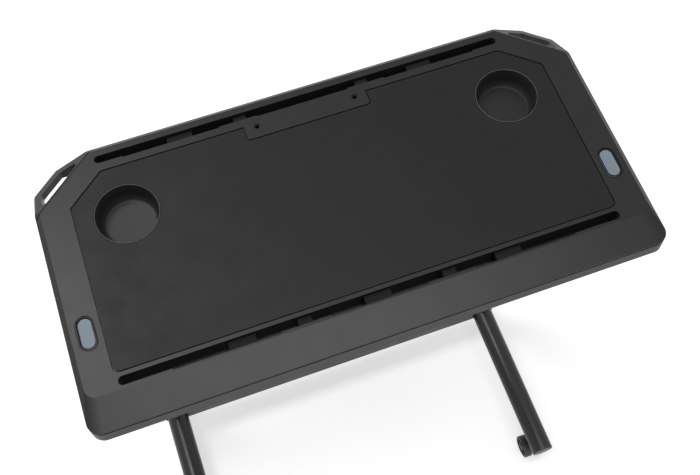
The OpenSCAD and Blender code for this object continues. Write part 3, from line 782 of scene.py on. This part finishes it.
class Bench:
    """Runs the modelling operators on one piece at a time."""

    @staticmethod
    def clear() -> None:
        """Leaves edit mode and deselects every piece."""
        if bpy.context.object and bpy.context.object.mode != "OBJECT":
            bpy.ops.object.mode_set(mode="OBJECT")
        bpy.ops.object.select_all(action="DESELECT")

    @staticmethod
    def only(piece: Piece) -> None:
        """Selects one piece alone.

        Args:
            piece: Piece to select.
        """
        Bench.clear()
        piece.select_set(True)
        bpy.context.view_layer.objects.active = piece

    @staticmethod
    def enter(piece: Piece, action: str = "DESELECT") -> None:
        """Opens one piece for editing.

        Args:
            piece: Piece to open.
            action: Whether nothing or everything is selected in it.
        """
        Bench.only(piece)
        bpy.ops.object.mode_set(mode="EDIT")
        bpy.ops.mesh.select_mode(type="VERT")
        bpy.ops.mesh.select_all(action=action)

    @staticmethod
    def leave() -> None:
        """Returns to object mode."""
        bpy.ops.object.mode_set(mode="OBJECT")

    @staticmethod
    def named(name: str) -> Piece:
        """Names the primitive that was just added and writes its place into its mesh.

        Args:
            name: Name of the piece.

        Returns:
            The piece.
        """
        piece = bpy.context.object
        piece.name = name
        bpy.ops.object.transform_apply(location=True, rotation=True, scale=True)
        return piece

    @staticmethod
    def drum(name: str, radius: float, low: Vector, high: Vector, sides: int = 48) -> Piece:
        """Adds a capped drum between two points.

        Args:
            name: Name of the piece.
            radius: Radius of the drum.
            low: Centre of its first face.
            high: Centre of its second face.
            sides: Number of sides.

        Returns:
            The new piece.
        """
        Bench.clear()
        along = high - low
        bpy.ops.mesh.primitive_cylinder_add(
            vertices=sides, radius=radius, depth=along.length, location=(low + high) / 2,
            rotation=along.to_track_quat("Z", "Y").to_euler())
        return Bench.named(name)

    @staticmethod
    def block(name: str, size: Sequence[float], middle: Sequence[float] = (0, 0, 0)) -> Piece:
        """Adds an upright block round a point.

        Args:
            name: Name of the piece.
            size: Its length along each axis.
            middle: Its middle.

        Returns:
            The new piece.
        """
        Bench.clear()
        bpy.ops.mesh.primitive_cube_add(size=1, location=middle, scale=size)
        return Bench.named(name)

    @staticmethod
    def coil(name: str, radius: float, wire: float, pitch: float, turns: int, sides: int,
             steps: int) -> Piece:
        """Winds an upright coil with closed ends from the origin.

        Args:
            name: Name of the coil.
            radius: Radius of the wire's path.
            wire: Radius of the wire.
            pitch: Rise of one turn.
            turns: Number of turns.
            sides: Number of sides of the wire.
            steps: Number of steps of one turn.

        Returns:
            The coil.
        """
        Bench.clear()
        bpy.ops.mesh.primitive_circle_add(vertices=sides, radius=wire, location=(radius, 0, 0),
                                          rotation=(math.radians(90), 0, 0))
        piece = Bench.named(name)
        Bench.modify(piece, "SCREW", angle=2 * math.pi, screw_offset=pitch, iterations=turns,
                     steps=steps, render_steps=steps, use_merge_vertices=False)
        Bench.enter(piece, "SELECT")
        bpy.ops.mesh.fill_holes(sides=0)
        Bench.leave()
        return piece

    @staticmethod
    def pick_faces(piece: Piece, test: FaceTest) -> None:
        """Selects the faces of the open piece that pass a test.

        Args:
            piece: Piece that is open for editing.
            test: Says whether a face is wanted.
        """
        bpy.ops.mesh.select_mode(type="FACE")
        mesh = bmesh.from_edit_mesh(piece.data)
        for face in mesh.faces:
            face.select = bool(test(face))
        bmesh.update_edit_mesh(piece.data)

    @staticmethod
    def open_at(piece: Piece, test: FaceTest) -> None:
        """Opens a piece for editing with the faces selected that pass a test."""
        Bench.enter(piece)
        Bench.pick_faces(piece, test)

    @staticmethod
    def pick_points(piece: Piece, test: Callable[[Vector], bool]) -> None:
        """Selects the corners of the open piece that pass a test.

        Args:
            piece: Piece that is open for editing.
            test: Says whether a corner is wanted.
        """
        bpy.ops.mesh.select_mode(type="VERT")
        mesh = bmesh.from_edit_mesh(piece.data)
        for point in mesh.verts:
            point.select = bool(test(point.co))
        mesh.select_flush(True)
        bmesh.update_edit_mesh(piece.data)

    @staticmethod
    def inset(*steps: Span) -> None:
        """Insets the selected faces step by step, each with a width and a rise."""
        for width, rise in steps:
            bpy.ops.mesh.inset(thickness=width, depth=rise)

    @staticmethod
    def lengthen(piece: Piece, middle: Vector, axis: Vector, reach: float) -> None:
        """Pulls the two halves of a drum apart, which makes it a pill.

        Args:
            piece: Drum to change.
            middle: Its middle.
            axis: Direction in which it grows.
            reach: How far each half moves.
        """
        Bench.enter(piece)
        for way in (-1, 1):
            Bench.pick_points(piece, lambda p, w=way: (p - middle).dot(axis) * w > TINY)
            bpy.ops.transform.translate(value=axis * reach * way)
        Bench.leave()

    @staticmethod
    def modify(piece: Piece, kind: str, **settings: object) -> None:
        """Adds one modifier and applies it.

        Args:
            piece: Piece to change.
            kind: Kind of modifier.
            **settings: Its settings.
        """
        Bench.only(piece)
        modifier = piece.modifiers.new(kind.lower(), kind)
        for name, value in settings.items():
            setattr(modifier, name, value)
        bpy.ops.object.modifier_apply(modifier=modifier.name)

    @staticmethod
    def round_off(piece: Piece, width: float, segments: int = 2, angle: float = 50) -> None:
        """Rounds the edges that are sharper than an angle in degrees."""
        Bench.modify(piece, "BEVEL", width=width, segments=segments, angle_limit=math.radians(angle))

    @staticmethod
    def cut(piece: Piece, tool: Piece) -> None:
        """Cuts one piece with another and throws the tool away."""
        Bench.modify(piece, "BOOLEAN", operation="DIFFERENCE", object=tool, solver="EXACT")
        bpy.data.objects.remove(tool, do_unlink=True)

    @staticmethod
    def join(name: str, pieces: Sequence[Piece]) -> Piece:
        """Joins pieces into one.

        Args:
            name: Name of the joined piece.
            pieces: Pieces to join.

        Returns:
            The joined piece.
        """
        Bench.clear()
        for piece in pieces:
            piece.select_set(True)
        bpy.context.view_layer.objects.active = pieces[0]
        bpy.ops.object.join()
        pieces[0].name = name
        return pieces[0]

    @staticmethod
    def smooth(piece: Piece, angle: float) -> None:
        """Turns the faces of a piece outwards and shades it smooth.

        Args:
            piece: Piece to smooth.
            angle: Angle in degrees below which an edge is shaded smooth.
        """
        Bench.enter(piece, "SELECT")
        bpy.ops.mesh.normals_make_consistent(inside=False)
        Bench.leave()
        bpy.ops.object.shade_smooth_by_angle(angle=math.radians(angle))

    @staticmethod
    def copies(piece: Piece, places: Sequence[Vector], turn: float = 0) -> list[Piece]:
        """Copies a piece modelled at the origin to several places, each with its own mesh.

        Args:
            piece: Piece to copy. It is thrown away.
            places: Where its origin goes.
            turn: Turn of every copy about Y, in degrees.

        Returns:
            The copies.
        """
        made = []
        for place in places:
            copy = bpy.data.objects.new(piece.name, piece.data.copy())
            copy.data.transform(Matrix.Translation(place) @ Matrix.Rotation(math.radians(turn), 4, "Y"))
            bpy.context.scene.collection.objects.link(copy)
            made.append(copy)
        bpy.data.objects.remove(piece, do_unlink=True)
        return made


def islands(node: str) -> list[Box]:
    """Finds the box of each separate solid in a frame piece.

    Args:
        node: Name of the frame piece.

    Returns:
        The boxes, from left to right and near to far.
    """
    mesh = bmesh.new()
    mesh.from_mesh(frame["nodes"][node].data)
    bmesh.ops.remove_doubles(mesh, verts=mesh.verts, dist=TINY)
    left = set(mesh.verts)
    boxes = []
    while left:
        front = [left.pop()]
        found = list(front)
        while front:
            point = front.pop()
            others = {edge.other_vert(point) for edge in point.link_edges} & left
            left -= others
            front.extend(others)
            found.extend(others)
        ends = (Vector(pick(point.co[axis] for point in found) for axis in Axis) for pick in (min, max))
        boxes.append(Box(*ends))
    mesh.free()
    return sorted(boxes, key=lambda box: (round(box.low.x, 4), round(box.low.y, 4)))


@dataclass
class SidePart:
    """Piece that stands on both sides of the desk.

    Args:
        side: Side of the desk.
        finishes: All finishes.
    """

    side: Side
    finishes: Finishes

    def named(self, name: str) -> str:
        """Name with the side behind it."""
        return f"{name}_{self.side.value}"


@dataclass
class ReleaseButton(SidePart):
    """Pill-shaped button with a dished cap, a skirt, a stem, a foot and a dark ring round it that paints the
    shade in its dish.

    Args:
        skirt: Width of the skirt round the cap.
        cap_height: Height of the cap.
        skirt_drop: Drop from the cap's top to the skirt.
        stem_radius: Radius of the stem.
        foot_radius: Radius of the foot.
        foot_height: Height of the foot.
        cap_edge: Rounding of the cap's edges.
        lower_edge: Rounding of the edges of skirt and foot.
        cap_steps: Width and rise of each step of the dished cap.
        well: Depth of the dish in the deck round the button.
        shade_ring: Inner and outer edge of the dark rubber ring in that dish, past the cap, which paints the
            shade there.
        shade_ring_height: Height of the ring.
        shade_ring_edge: Rounding of its edges as a share of its height.
    """

    skirt: float = 1.6 * MM
    cap_height: float = 7 * MM
    skirt_drop: float = 3 * MM
    stem_radius: float = 4 * MM
    foot_radius: float = 6 * MM
    foot_height: float = 2.2 * MM
    cap_edge: float = 0.5 * MM
    lower_edge: float = 0.4 * MM
    cap_steps: tuple[Span, ...] = (
        (0.5 * MM, 0), (0.7 * MM, 0), (2.6 * MM, -0.35 * MM), (2.2 * MM, -0.15 * MM))
    well: float = 1.6 * MM
    shade_ring: Span = (1.95 * MM, 3 * MM)
    shade_ring_height: float = 0.35 * MM
    shade_ring_edge: float = 0.3

    def pill(self, name: str, grow: float, low: float, high: float) -> Piece:
        """Makes an upright pill round the button's axis.

        Args:
            name: Name of the pill.
            grow: How far it stands out past the cap.
            low: Height of its underside.
            high: Height of its top.

        Returns:
            The pill.
        """
        box = Box.of(self.named("button"))
        radius = box.size.x / 2 - self.skirt + grow
        floor = Vector((*box.middle.xy, low))
        piece = Bench.drum(name, radius, floor, floor + UP * (high - low), 64)
        Bench.lengthen(piece, box.middle, Vector((0, 1, 0)), box.size.y / 2 - self.skirt + grow - radius)
        return piece

    def build(self) -> None:
        """Builds the button in place of its frame piece, and the dark ring of painted shade round it."""
        node = self.named("button")
        box = Box.of(node)
        bottom, top = (box.face(Axis.Z, sign) for sign in (-1, 1))
        cap = self.pill("cap", 0, top.z - self.cap_height, top.z)
        Bench.open_at(cap, lambda f: f.normal.z > 0.9)
        Bench.inset(*self.cap_steps)
        Bench.leave()
        Bench.round_off(cap, self.cap_edge, 3)
        skirt = self.pill("skirt", self.skirt, top.z - self.cap_height, top.z - self.skirt_drop)
        Bench.round_off(skirt, self.lower_edge)
        stem_end = top - UP * self.cap_height / 2
        stem = Bench.drum("stem", self.stem_radius, bottom + UP * self.foot_height / 2, stem_end, 40)
        foot = Bench.drum("foot", self.foot_radius, bottom, bottom + UP * self.foot_height, 40)
        Bench.round_off(foot, self.lower_edge)
        cap.name = self.named("dished_button")
        self.finishes.fit(cap, "button_plastic", node, [node])
        plunger = Bench.join(self.named("button_plunger"), [skirt, stem, foot])
        self.finishes.fit(plunger, "cap_plastic", node, [node])
        self.lay_shade_ring(top.z - self.well)

    def lay_shade_ring(self, floor: float) -> None:
        """Builds the dark rubber ring that lies in the dish round the button as painted shade.

        Args:
            floor: Height of the dish's floor.
        """
        # Dark rubber ring: painted shade in the dish round the button
        inner, outer = self.shade_ring
        ring = self.pill(self.named("button_shade_ring"), outer, floor, floor + self.shade_ring_height)
        Bench.cut(ring, self.pill("hole", inner, floor - self.well, floor + self.well))
        Bench.round_off(ring, self.shade_ring_height * self.shade_ring_edge)
        self.finishes.fit(ring, "mat", "desk")


@dataclass
class CupWell(SidePart):
    """Round cup well with a rolled rim, a steep wall and a soft-cornered floor.

    Args:
        flange: Width of the square flange outside the wall.
        flange_height: Thickness of the flange.
        sunk: Depth of the flange below the rim.
        wall: Wall thickness.
        draft: How far the wall draws in on its way down.
        corner: Radius between wall and floor.
        steps: Steps of that rounding.
        rim: Rounding of the rim as a share of the wall thickness.
        sides: Number of sides of the round forms.
    """

    flange: float = 5.5 * MM
    flange_height: float = 1.4 * MM
    sunk: float = 2.8 * MM
    wall: float = 1.8 * MM
    draft: float = 0.6 * MM
    corner: float = 10 * MM
    steps: int = 12
    rim: float = 0.42
    sides: int = 96

    def bowl(self, radius: float, low: Vector, high: Vector) -> Piece:
        """Models the well itself.

        Args:
            radius: Outer radius.
            low: Centre of its underside.
            high: Centre of its rim.

        Returns:
            The bowl.
        """
        bowl = Bench.drum("bowl", radius, low, high, self.sides)
        Bench.open_at(bowl, lambda f: f.normal.z < -0.9)
        bpy.ops.mesh.bevel(offset=self.corner + self.wall, segments=8, affect="EDGES")
        Bench.pick_faces(bowl, lambda f: f.normal.z > 0.9)
        straight = (high - low).length - self.wall - self.corner
        Bench.inset((self.wall, 0), (self.draft, -straight))
        for step in range(self.steps):
            start, end = (math.pi / 2 * (step + more) / self.steps for more in (0, 1))
            inward = self.corner * (math.cos(start) - math.cos(end))
            Bench.inset((inward, -self.corner * (math.sin(end) - math.sin(start))))
        Bench.leave()
        Bench.round_off(bowl, self.wall * self.rim, 3, 60)
        return bowl

    def build(self) -> None:
        """Builds the well in place of its frame piece."""
        node = self.named("cup")
        box = Box.of(node)
        radius = box.size.x / 2 - self.flange
        top = box.face(Axis.Z, 1)
        bowl = self.bowl(radius, box.face(Axis.Z, -1), top)
        middle = top - UP * (self.sunk + self.flange_height / 2)
        plate = Bench.block("flange", (box.size.x, box.size.x, self.flange_height), middle)
        ends = (middle - UP * self.sunk, middle + UP * self.sunk)
        Bench.cut(plate, Bench.drum("hole", radius - self.wall / 2, *ends, self.sides))
        self.finishes.fit(Bench.join(self.named("smooth_cup"), [bowl, plate]), "cup_plastic", "desk", [node])


@dataclass
class ReturnSpring(SidePart):
    """Coil spring under a release button.

    Args:
        wire: Thickness of the wire.
        turns: Number of turns.
        travel: Travel of the button; not used.
    """

    wire: float = 1.1 * MM
    turns: int = 5
    travel: float = 5 * MM

    def build(self) -> None:
        """Builds the coil in place of its frame piece."""
        node = self.named("button_spring")
        box = Box.of(node)
        foot = box.face(Axis.Z, -1)
        radius = (box.size.x - self.wire) / 2
        pitch = (box.size.z - self.wire) / self.turns
        coil = Bench.coil(self.named("return_coil"), radius, self.wire / 2, pitch, self.turns, 10, 28)
        coil.data.transform(Matrix.Translation(foot + UP * self.wire / 2))
        self.finishes.fit(coil, "zinc", "desk", [node], 50)
        self.named("button_press")
        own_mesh(coil)


class ScrewWay(Enum):
    """Which way a screw's head faces: its axis, the sign on it, and the turn there from facing down."""

    DOWN = (Axis.Z, -1, 0)
    LEFT = (Axis.X, -1, 90)
    RIGHT = (Axis.X, 1, -90)


@dataclass
class SocketScrews:
    """A set of socket head screws that stands for one frame piece.

    Args:
        node: Name of the frame piece.
        body: Body that the screws ride on.
        slot: Finish of the screws.
        finishes: All finishes.
        head_height: Height of a head.
        shank_radius: Radius of a shank.
        head_edge: Rounding of a head's edge as a share of its radius.
        key_width: Radius of the six-sided socket as a share of the head's radius.
        key_depth: Depth of the socket as a share of the head's height.
        overlap: Where the shank starts in the head, as a share of the head's height.
        point: Chamfer of the shank's end as a share of its radius.
    """

    node: str
    body: str
    slot: str
    finishes: Finishes
    head_height: float
    shank_radius: float
    head_edge: float = 0.16
    key_width: float = 0.52
    key_depth: float = 0.6
    overlap: float = 0.8
    point: float = 0.3

    def one(self, head_radius: float, length: float) -> Piece:
        """Models one screw at the origin with its head facing down.

        Args:
            head_radius: Radius of the head.
            length: Length of the whole screw.

        Returns:
            The screw.
        """
        height = UP * self.head_height
        head = Bench.drum("screw", head_radius, UP * 0, height, 40)
        Bench.round_off(head, head_radius * self.head_edge, 3)
        key = Bench.drum("key", head_radius * self.key_width, -height, height * self.key_depth, 6)
        Bench.cut(head, key)
        shank = Bench.drum("shank", self.shank_radius, height * self.overlap, UP * length, 32)
        Bench.open_at(shank, lambda f: f.normal.z > 0.9)
        bpy.ops.mesh.bevel(offset=self.shank_radius * self.point, segments=1)
        Bench.leave()
        return Bench.join("screw", [head, shank])

    def build(self) -> None:
        """Builds every screw of the set."""
        boxes = islands(self.node)
        upright = boxes[0].size.z > boxes[0].size.x
        made = []
        for way in (ScrewWay.DOWN,) if upright else (ScrewWay.LEFT, ScrewWay.RIGHT):
            axis, sign, turn = way.value
            mine = [box for box in boxes if upright or box.low.x * sign > 0]
            screw = self.one(mine[0].size.y / 2, mine[0].size[axis])
            made += Bench.copies(screw, [box.face(axis, sign) for box in mine], turn)
        self.finishes.fit(Bench.join(f"socket_{self.node}", made), self.slot, self.body, [self.node])


@dataclass
class InsertThreads:
    """Threads cut into the two sleeves of the accessory tab.

    Args:
        finishes: All finishes.
        bore: Radius of the sleeve's bore.
        pitch: Pitch of the thread.
        ridge: Half the height of a ridge as a share of the pitch.
    """

    finishes: Finishes
    bore: float = 3.25 * MM
    pitch: float = 1.25 * MM
    ridge: float = 0.3

    def build(self) -> None:
        """Builds the thread ridges inside both sleeves."""
        boxes = islands("accessory_inserts")
        height = boxes[0].size.z
        turns = int(height / self.pitch) - 1
        ridge = Bench.coil("ridge", self.bore, self.pitch * self.ridge, self.pitch, turns, 4, 24)
        start = UP * (height - turns * self.pitch) / 2
        ridges = Bench.copies(ridge, [box.face(Axis.Z, -1) + start for box in boxes])
        self.finishes.fit(Bench.join("insert_threads", ridges), "insert_metal", "desk", angle=20)


@dataclass
class LegCaps:
    """Crowned plastic caps on the ends of both leg tubes.

    Args:
        finishes: All finishes.
        thickness: Thickness of a cap outside its tube.
        crown: Width of the rounded rim.
        plug_wall: Difference between the cap's and the plug's radius.
        plug_edge: Rounding of the plug's edges.
        groove: Width and rise of each step of the ring groove in the face.
    """

    finishes: Finishes
    thickness: float = 4.98 * MM
    crown: float = 1.8 * MM
    plug_wall: float = 2.1 * MM
    plug_edge: float = 0.8 * MM
    groove: tuple[Span, ...] = ((2.4 * MM, 0), (0.5 * MM, -0.5 * MM), (0.5 * MM, 0.5 * MM))

    def build(self) -> None:
        """Builds the four caps in place of their frame piece."""
        made = []
        for box in islands("leg_caps"):
            way = 1 if box.middle.y > 0 else -1
            radius = box.size.x / 2
            face = box.face(Axis.Y, way)
            seat = face - Vector((0, way * self.thickness, 0))
            disc = Bench.drum("disc", radius, seat, face, 96)
            Bench.open_at(disc, lambda f, w=way: f.normal.y * w > 0.9)
            bpy.ops.mesh.bevel(offset=self.crown, segments=5, affect="EDGES")
            Bench.pick_faces(disc, lambda f, w=way: f.normal.y * w > 0.99 and f.calc_area() > radius ** 2)
            Bench.inset(*self.groove)
            Bench.leave()
            plug = Bench.drum("plug", radius - self.plug_wall, seat, box.face(Axis.Y, -way), 64)
            Bench.round_off(plug, self.plug_edge)
            made += [disc, plug]
        self.finishes.fit(Bench.join("crowned_leg_caps", made), "cap_plastic", "base", ["leg_caps"])


@dataclass
class Caster:
    """Twin-wheel caster with spoked hubs and a ribbed brake lever.

    Args:
        side: Side of the desk.
        end: End of the leg.
        finishes: All finishes.
        tread: Radius of the rounded tread edge.
        outer_face: Width of the rim and depth of the recess on a wheel's outer side.
        inner_face: The same on its inner side.
        recess_wall: Width of the sloped wall of a recess.
        recess_floor: Width of a recess as a share of the wheel's radius.
        hub_wall: Width of the sloped wall of a hub.
        hub_rise: Height of a hub as a share of the recess's depth.
        spoke_count: Number of spokes in a hub.
        spoke_size: Thickness of a spoke along X and Y.
        spoke_length: Length of a spoke as a share of the wheel's radius.
        spoke_place: Distance of its middle from the axle, as such a share.
        spoke_edge: Rounding of its edges.
        spoke_sunk: Depth of a spoke's middle below the wheel's outer face.
        rib_count: Number of grip ribs on the lever.
        rib_radius: Radius of a rib.
        rib_first: Distance of the first rib from the lever's tip.
        rib_step: Distance between two ribs.
        rib_length: Length of a rib.
        rib_shorter: How much shorter the first rib is at each end.
        rib_edge: Rounding of a rib's ends.
    """

    side: Side
    end: End
    finishes: Finishes
    tread: float = 2.2 * MM
    outer_face: Span = (3.2 * MM, 2.6 * MM)
    inner_face: Span = (4.5 * MM, 1 * MM)
    recess_wall: float = 0.7 * MM
    recess_floor: float = 0.42
    hub_wall: float = 0.5 * MM
    hub_rise: float = 0.9
    spoke_count: int = 9
    spoke_size: Span = (1.8 * MM, 1.6 * MM)
    spoke_length: float = 0.5
    spoke_place: float = 0.55
    spoke_edge: float = 0.4 * MM
    spoke_sunk: float = 2 * MM
    rib_count: int = 4
    rib_radius: float = 0.5 * MM
    rib_first: float = 3.2 * MM
    rib_step: float = 2.4 * MM
    rib_length: float = 9 * MM
    rib_shorter: float = 0.9 * MM
    rib_edge: float = 0.2 * MM

    @property
    def name(self) -> str:
        """Name of the caster."""
        return f"{self.end.value}_{self.side.value}"

    def wheel(self, box: Box, out: int) -> Piece:
        """Models one wheel.

        Args:
            box: Box of its frame solid.
            out: Sign of X on its outer side.

        Returns:
            The wheel.
        """
        radius = box.size.z / 2
        wheel = Bench.drum("wheel", radius, box.face(Axis.X, -out), box.face(Axis.X, out), 72)
        Bench.open_at(wheel, lambda f: abs(f.normal.x) > 0.9)
        bpy.ops.mesh.bevel(offset=self.tread, segments=4, affect="EDGES")
        for way, (rim, drop) in ((out, self.outer_face), (-out, self.inner_face)):
            Bench.pick_faces(wheel, lambda f, w=way: f.normal.x * w > 0.99 and f.calc_area() > radius ** 2)
            Bench.inset((rim, 0), (self.recess_wall, -drop), (radius * self.recess_floor, 0),
                        (self.hub_wall, drop * self.hub_rise))
        Bench.leave()
        return wheel

    def spokes(self, box: Box, out: int) -> list[Piece]:
        """Models the spokes in a wheel's outer recess.

        Args:
            box: Box of the wheel's frame solid.
            out: Sign of X on its outer side.

        Returns:
            The spokes.
        """
        radius = box.size.z / 2
        hub = Matrix.Translation(box.face(Axis.X, out) - Vector((out * self.spoke_sunk, 0, 0)))
        outward = Matrix.Translation(UP * radius * self.spoke_place)
        made = []
        for index in range(self.spoke_count):
            spoke = Bench.block("spoke", (*self.spoke_size, radius * self.spoke_length))
            Bench.round_off(spoke, self.spoke_edge)
            turn = Matrix.Rotation(2 * math.pi * index / self.spoke_count, 4, "X")
            spoke.data.transform(hub @ turn @ outward)
            made.append(spoke)
        return made

    def wheels(self) -> None:
        """Builds the wheel pair in place of its frame piece."""
        node = f"{self.name}_caster_wheels"
        made = []
        for out, box in zip((-1, 1), islands(node)):
            made += [self.wheel(box, out), *self.spokes(box, out)]
        whole = Bench.join(f"{self.name}_spoked_wheels", made)
        self.finishes.fit(whole, "wheel_plastic", f"{self.name}_wheels", [node])

    def lever(self) -> None:
        """Adds grip ribs to the brake lever."""
        box = Box.of(f"{self.name}_brake_lever")
        sign = self.side.sign
        made = []
        for index in range(self.rib_count):
            half = self.rib_length / 2 - (self.rib_shorter if index == 0 else 0)
            middle = box.face(Axis.X, -sign)
            middle.x += sign * (self.rib_first + self.rib_step * index)
            middle.z = box.high.z
            reach = Vector((0, half, 0))
            bar = Bench.drum("rib", self.rib_radius, middle - reach, middle + reach, 12)
            Bench.round_off(bar, self.rib_edge)
            made.append(bar)
        whole = Bench.join(f"{self.name}_brake_ribs", made)
        self.finishes.fit(whole, "caster_plastic", f"{self.name}_brake")

    def build(self) -> None:
        """Builds the caster's wheels and the ribs on its lever."""
        self.wheels()
        self.lever()


@dataclass(frozen=True)
class Lamp:
    """Soft oval lamp.

    Args:
        name: Name of the lamp.
        place: Where it hangs.
        size: Its two widths.
        power: Its power in watts.
    """

    name: str
    place: tuple[float, float, float]
    size: Span
    power: float


@dataclass
class Studio:
    """Pale floor, soft lamps and the camera.

    Args:
        camera_place: Place of the camera.
        camera_aim: Point that it looks at.
        camera_lens: Focal length in millimetres.
        camera_frame: Width in millimetres of the frame behind the lens.
        floor_size: Width of the floor.
        world_level: Light from all round.
        dust: Pattern of the dust on the floor.
        floor_dust: Darkest and lightest grey of the floor where it lights the desk.
        floor_tone: Grey of the floor where it shows.
        floor_glow: Own light of the floor where it shows.
        lamp_aim: Point that every lamp faces.
        lamps: The lamps.
    """

    camera_place: Vector
    camera_aim: Vector
    camera_lens: float = 49.6
    camera_frame: float = 36
    floor_size: float = 40
    world_level: float = 0.25
    dust: Pattern = Pattern(1.2, 3)
    floor_dust: Span = (0.6, 0.62)
    floor_tone: float = 0.86
    floor_glow: float = 0.55
    lamp_aim: tuple[float, float, float] = (0, 0, 0.7)
    lamps: tuple[Lamp, ...] = (
        Lamp("key", (-1.0, 1.05, 3.8), (1.2, 1.2), 46),
        Lamp("top", (0.0, -0.38, 3.8), (2.3, 0.8), 46),
        Lamp("fill", (2.4, -1.6, 3.2), (2.4, 2.4), 2),
    )

    def build(self) -> None:
        """Builds the floor, the lamps, the world and the camera."""
        self.floor()
        for lamp in self.lamps:
            self.light(lamp)
        self.world()
        self.camera()

    def floor(self) -> None:
        """Adds a floor that shows white to the camera and keeps soft shadows."""
        Bench.clear()
        bpy.ops.mesh.primitive_plane_add(size=self.floor_size)
        plane = Bench.named("floor")
        constants = {"Roughness": 0.9, "Specular IOR Level": 0.1, "Emission Color": (1, 1, 1)}
        bench = ShaderBench("floor", constants)
        shown = bench.white_rays()
        darkest, lightest = ((level,) * 3 for level in self.floor_dust)
        dust = bench.blend(bench.drawn_out(bench.noise(self.dust), WHOLE), darkest, lightest)
        bench.feed(bench.blend(shown, dust, (self.floor_tone,) * 3), bench.shader.inputs["Base Color"])
        bench.feed(bench.remap(shown, WHOLE, (0, self.floor_glow)), bench.shader.inputs["Emission Strength"])
        plane.data.materials.append(bench.material)

    def light(self, lamp: Lamp) -> None:
        """Adds one lamp.

        Args:
            lamp: Lamp to add.
        """
        data = bpy.data.lights.new(lamp.name, "AREA")
        data.shape = "ELLIPSE"
        data.size, data.size_y = lamp.size
        data.energy = lamp.power
        self.aimed(lamp.name, data, Vector(lamp.place), Vector(self.lamp_aim))

    def world(self) -> None:
        """Lights the desk evenly from all round and shows white behind it."""
        world = bpy.data.worlds.new("studio")
        bpy.context.scene.world = world
        world.use_nodes = True
        bench = NodeBench(world.node_tree)
        level = bench.remap(bench.white_rays(), WHOLE, (self.world_level, 1))
        background = bench.add("Background", {"Color": (1, 1, 1), "Strength": level})
        bench.add("OutputWorld", {"Surface": background.outputs["Background"]})

    def camera(self) -> None:
        """Adds the camera above the rider's left shoulder."""
        data = bpy.data.cameras.new("camera")
        data.lens = self.camera_lens
        data.sensor_width = self.camera_frame
        bpy.context.scene.camera = self.aimed("camera", data, self.camera_place, self.camera_aim)

    @staticmethod
    def aimed(name: str, data: bpy.types.ID, place: Vector, aim: Vector) -> Piece:
        """Puts a lamp or camera at its place and turns it to a point.

        Args:
            name: Name of the lamp or camera.
            data: Its data.
            place: Where it stands.
            aim: Point that it faces.

        Returns:
            The lamp or camera.
        """
        made = bpy.data.objects.new(name, data)
        made.location = place
        made.rotation_euler = (aim - place).to_track_quat("-Z", "Y").to_euler()
        bpy.context.scene.collection.objects.link(made)
        return made


def main() -> None:
    """Dresses the frame, builds the finer pieces and sets up the studio."""
    logging.basicConfig(level=logging.INFO, format="%(message)s")
    bpy.context.scene.view_settings.view_transform = "Standard"
    finishes = Finishes()
    finishes.dress_frame()
    for side in Side:
        ReleaseButton(side, finishes).build()
        ReturnSpring(side, finishes).build()
        CupWell(side, finishes).build()
        for end in End:
            Caster(side, end, finishes).build()
    SocketScrews("shell_screws", "desk", "dark_screw", finishes, 2.7 * MM, 2 * MM).build()
    SocketScrews("head_screws", "desk", "dark_screw", finishes, 4 * MM, 3 * MM).build()
    SocketScrews("beam_bolts", "base", "zinc", finishes, 3.4 * MM, 4 * MM).build()
    InsertThreads(finishes).build()
    LegCaps(finishes).build()
    Studio(Vector((-0.1894, -0.5532, 2.2479)), Vector((-0.0076, -0.0455, 1.075))).build()


if __name__ == "__main__":
    main()
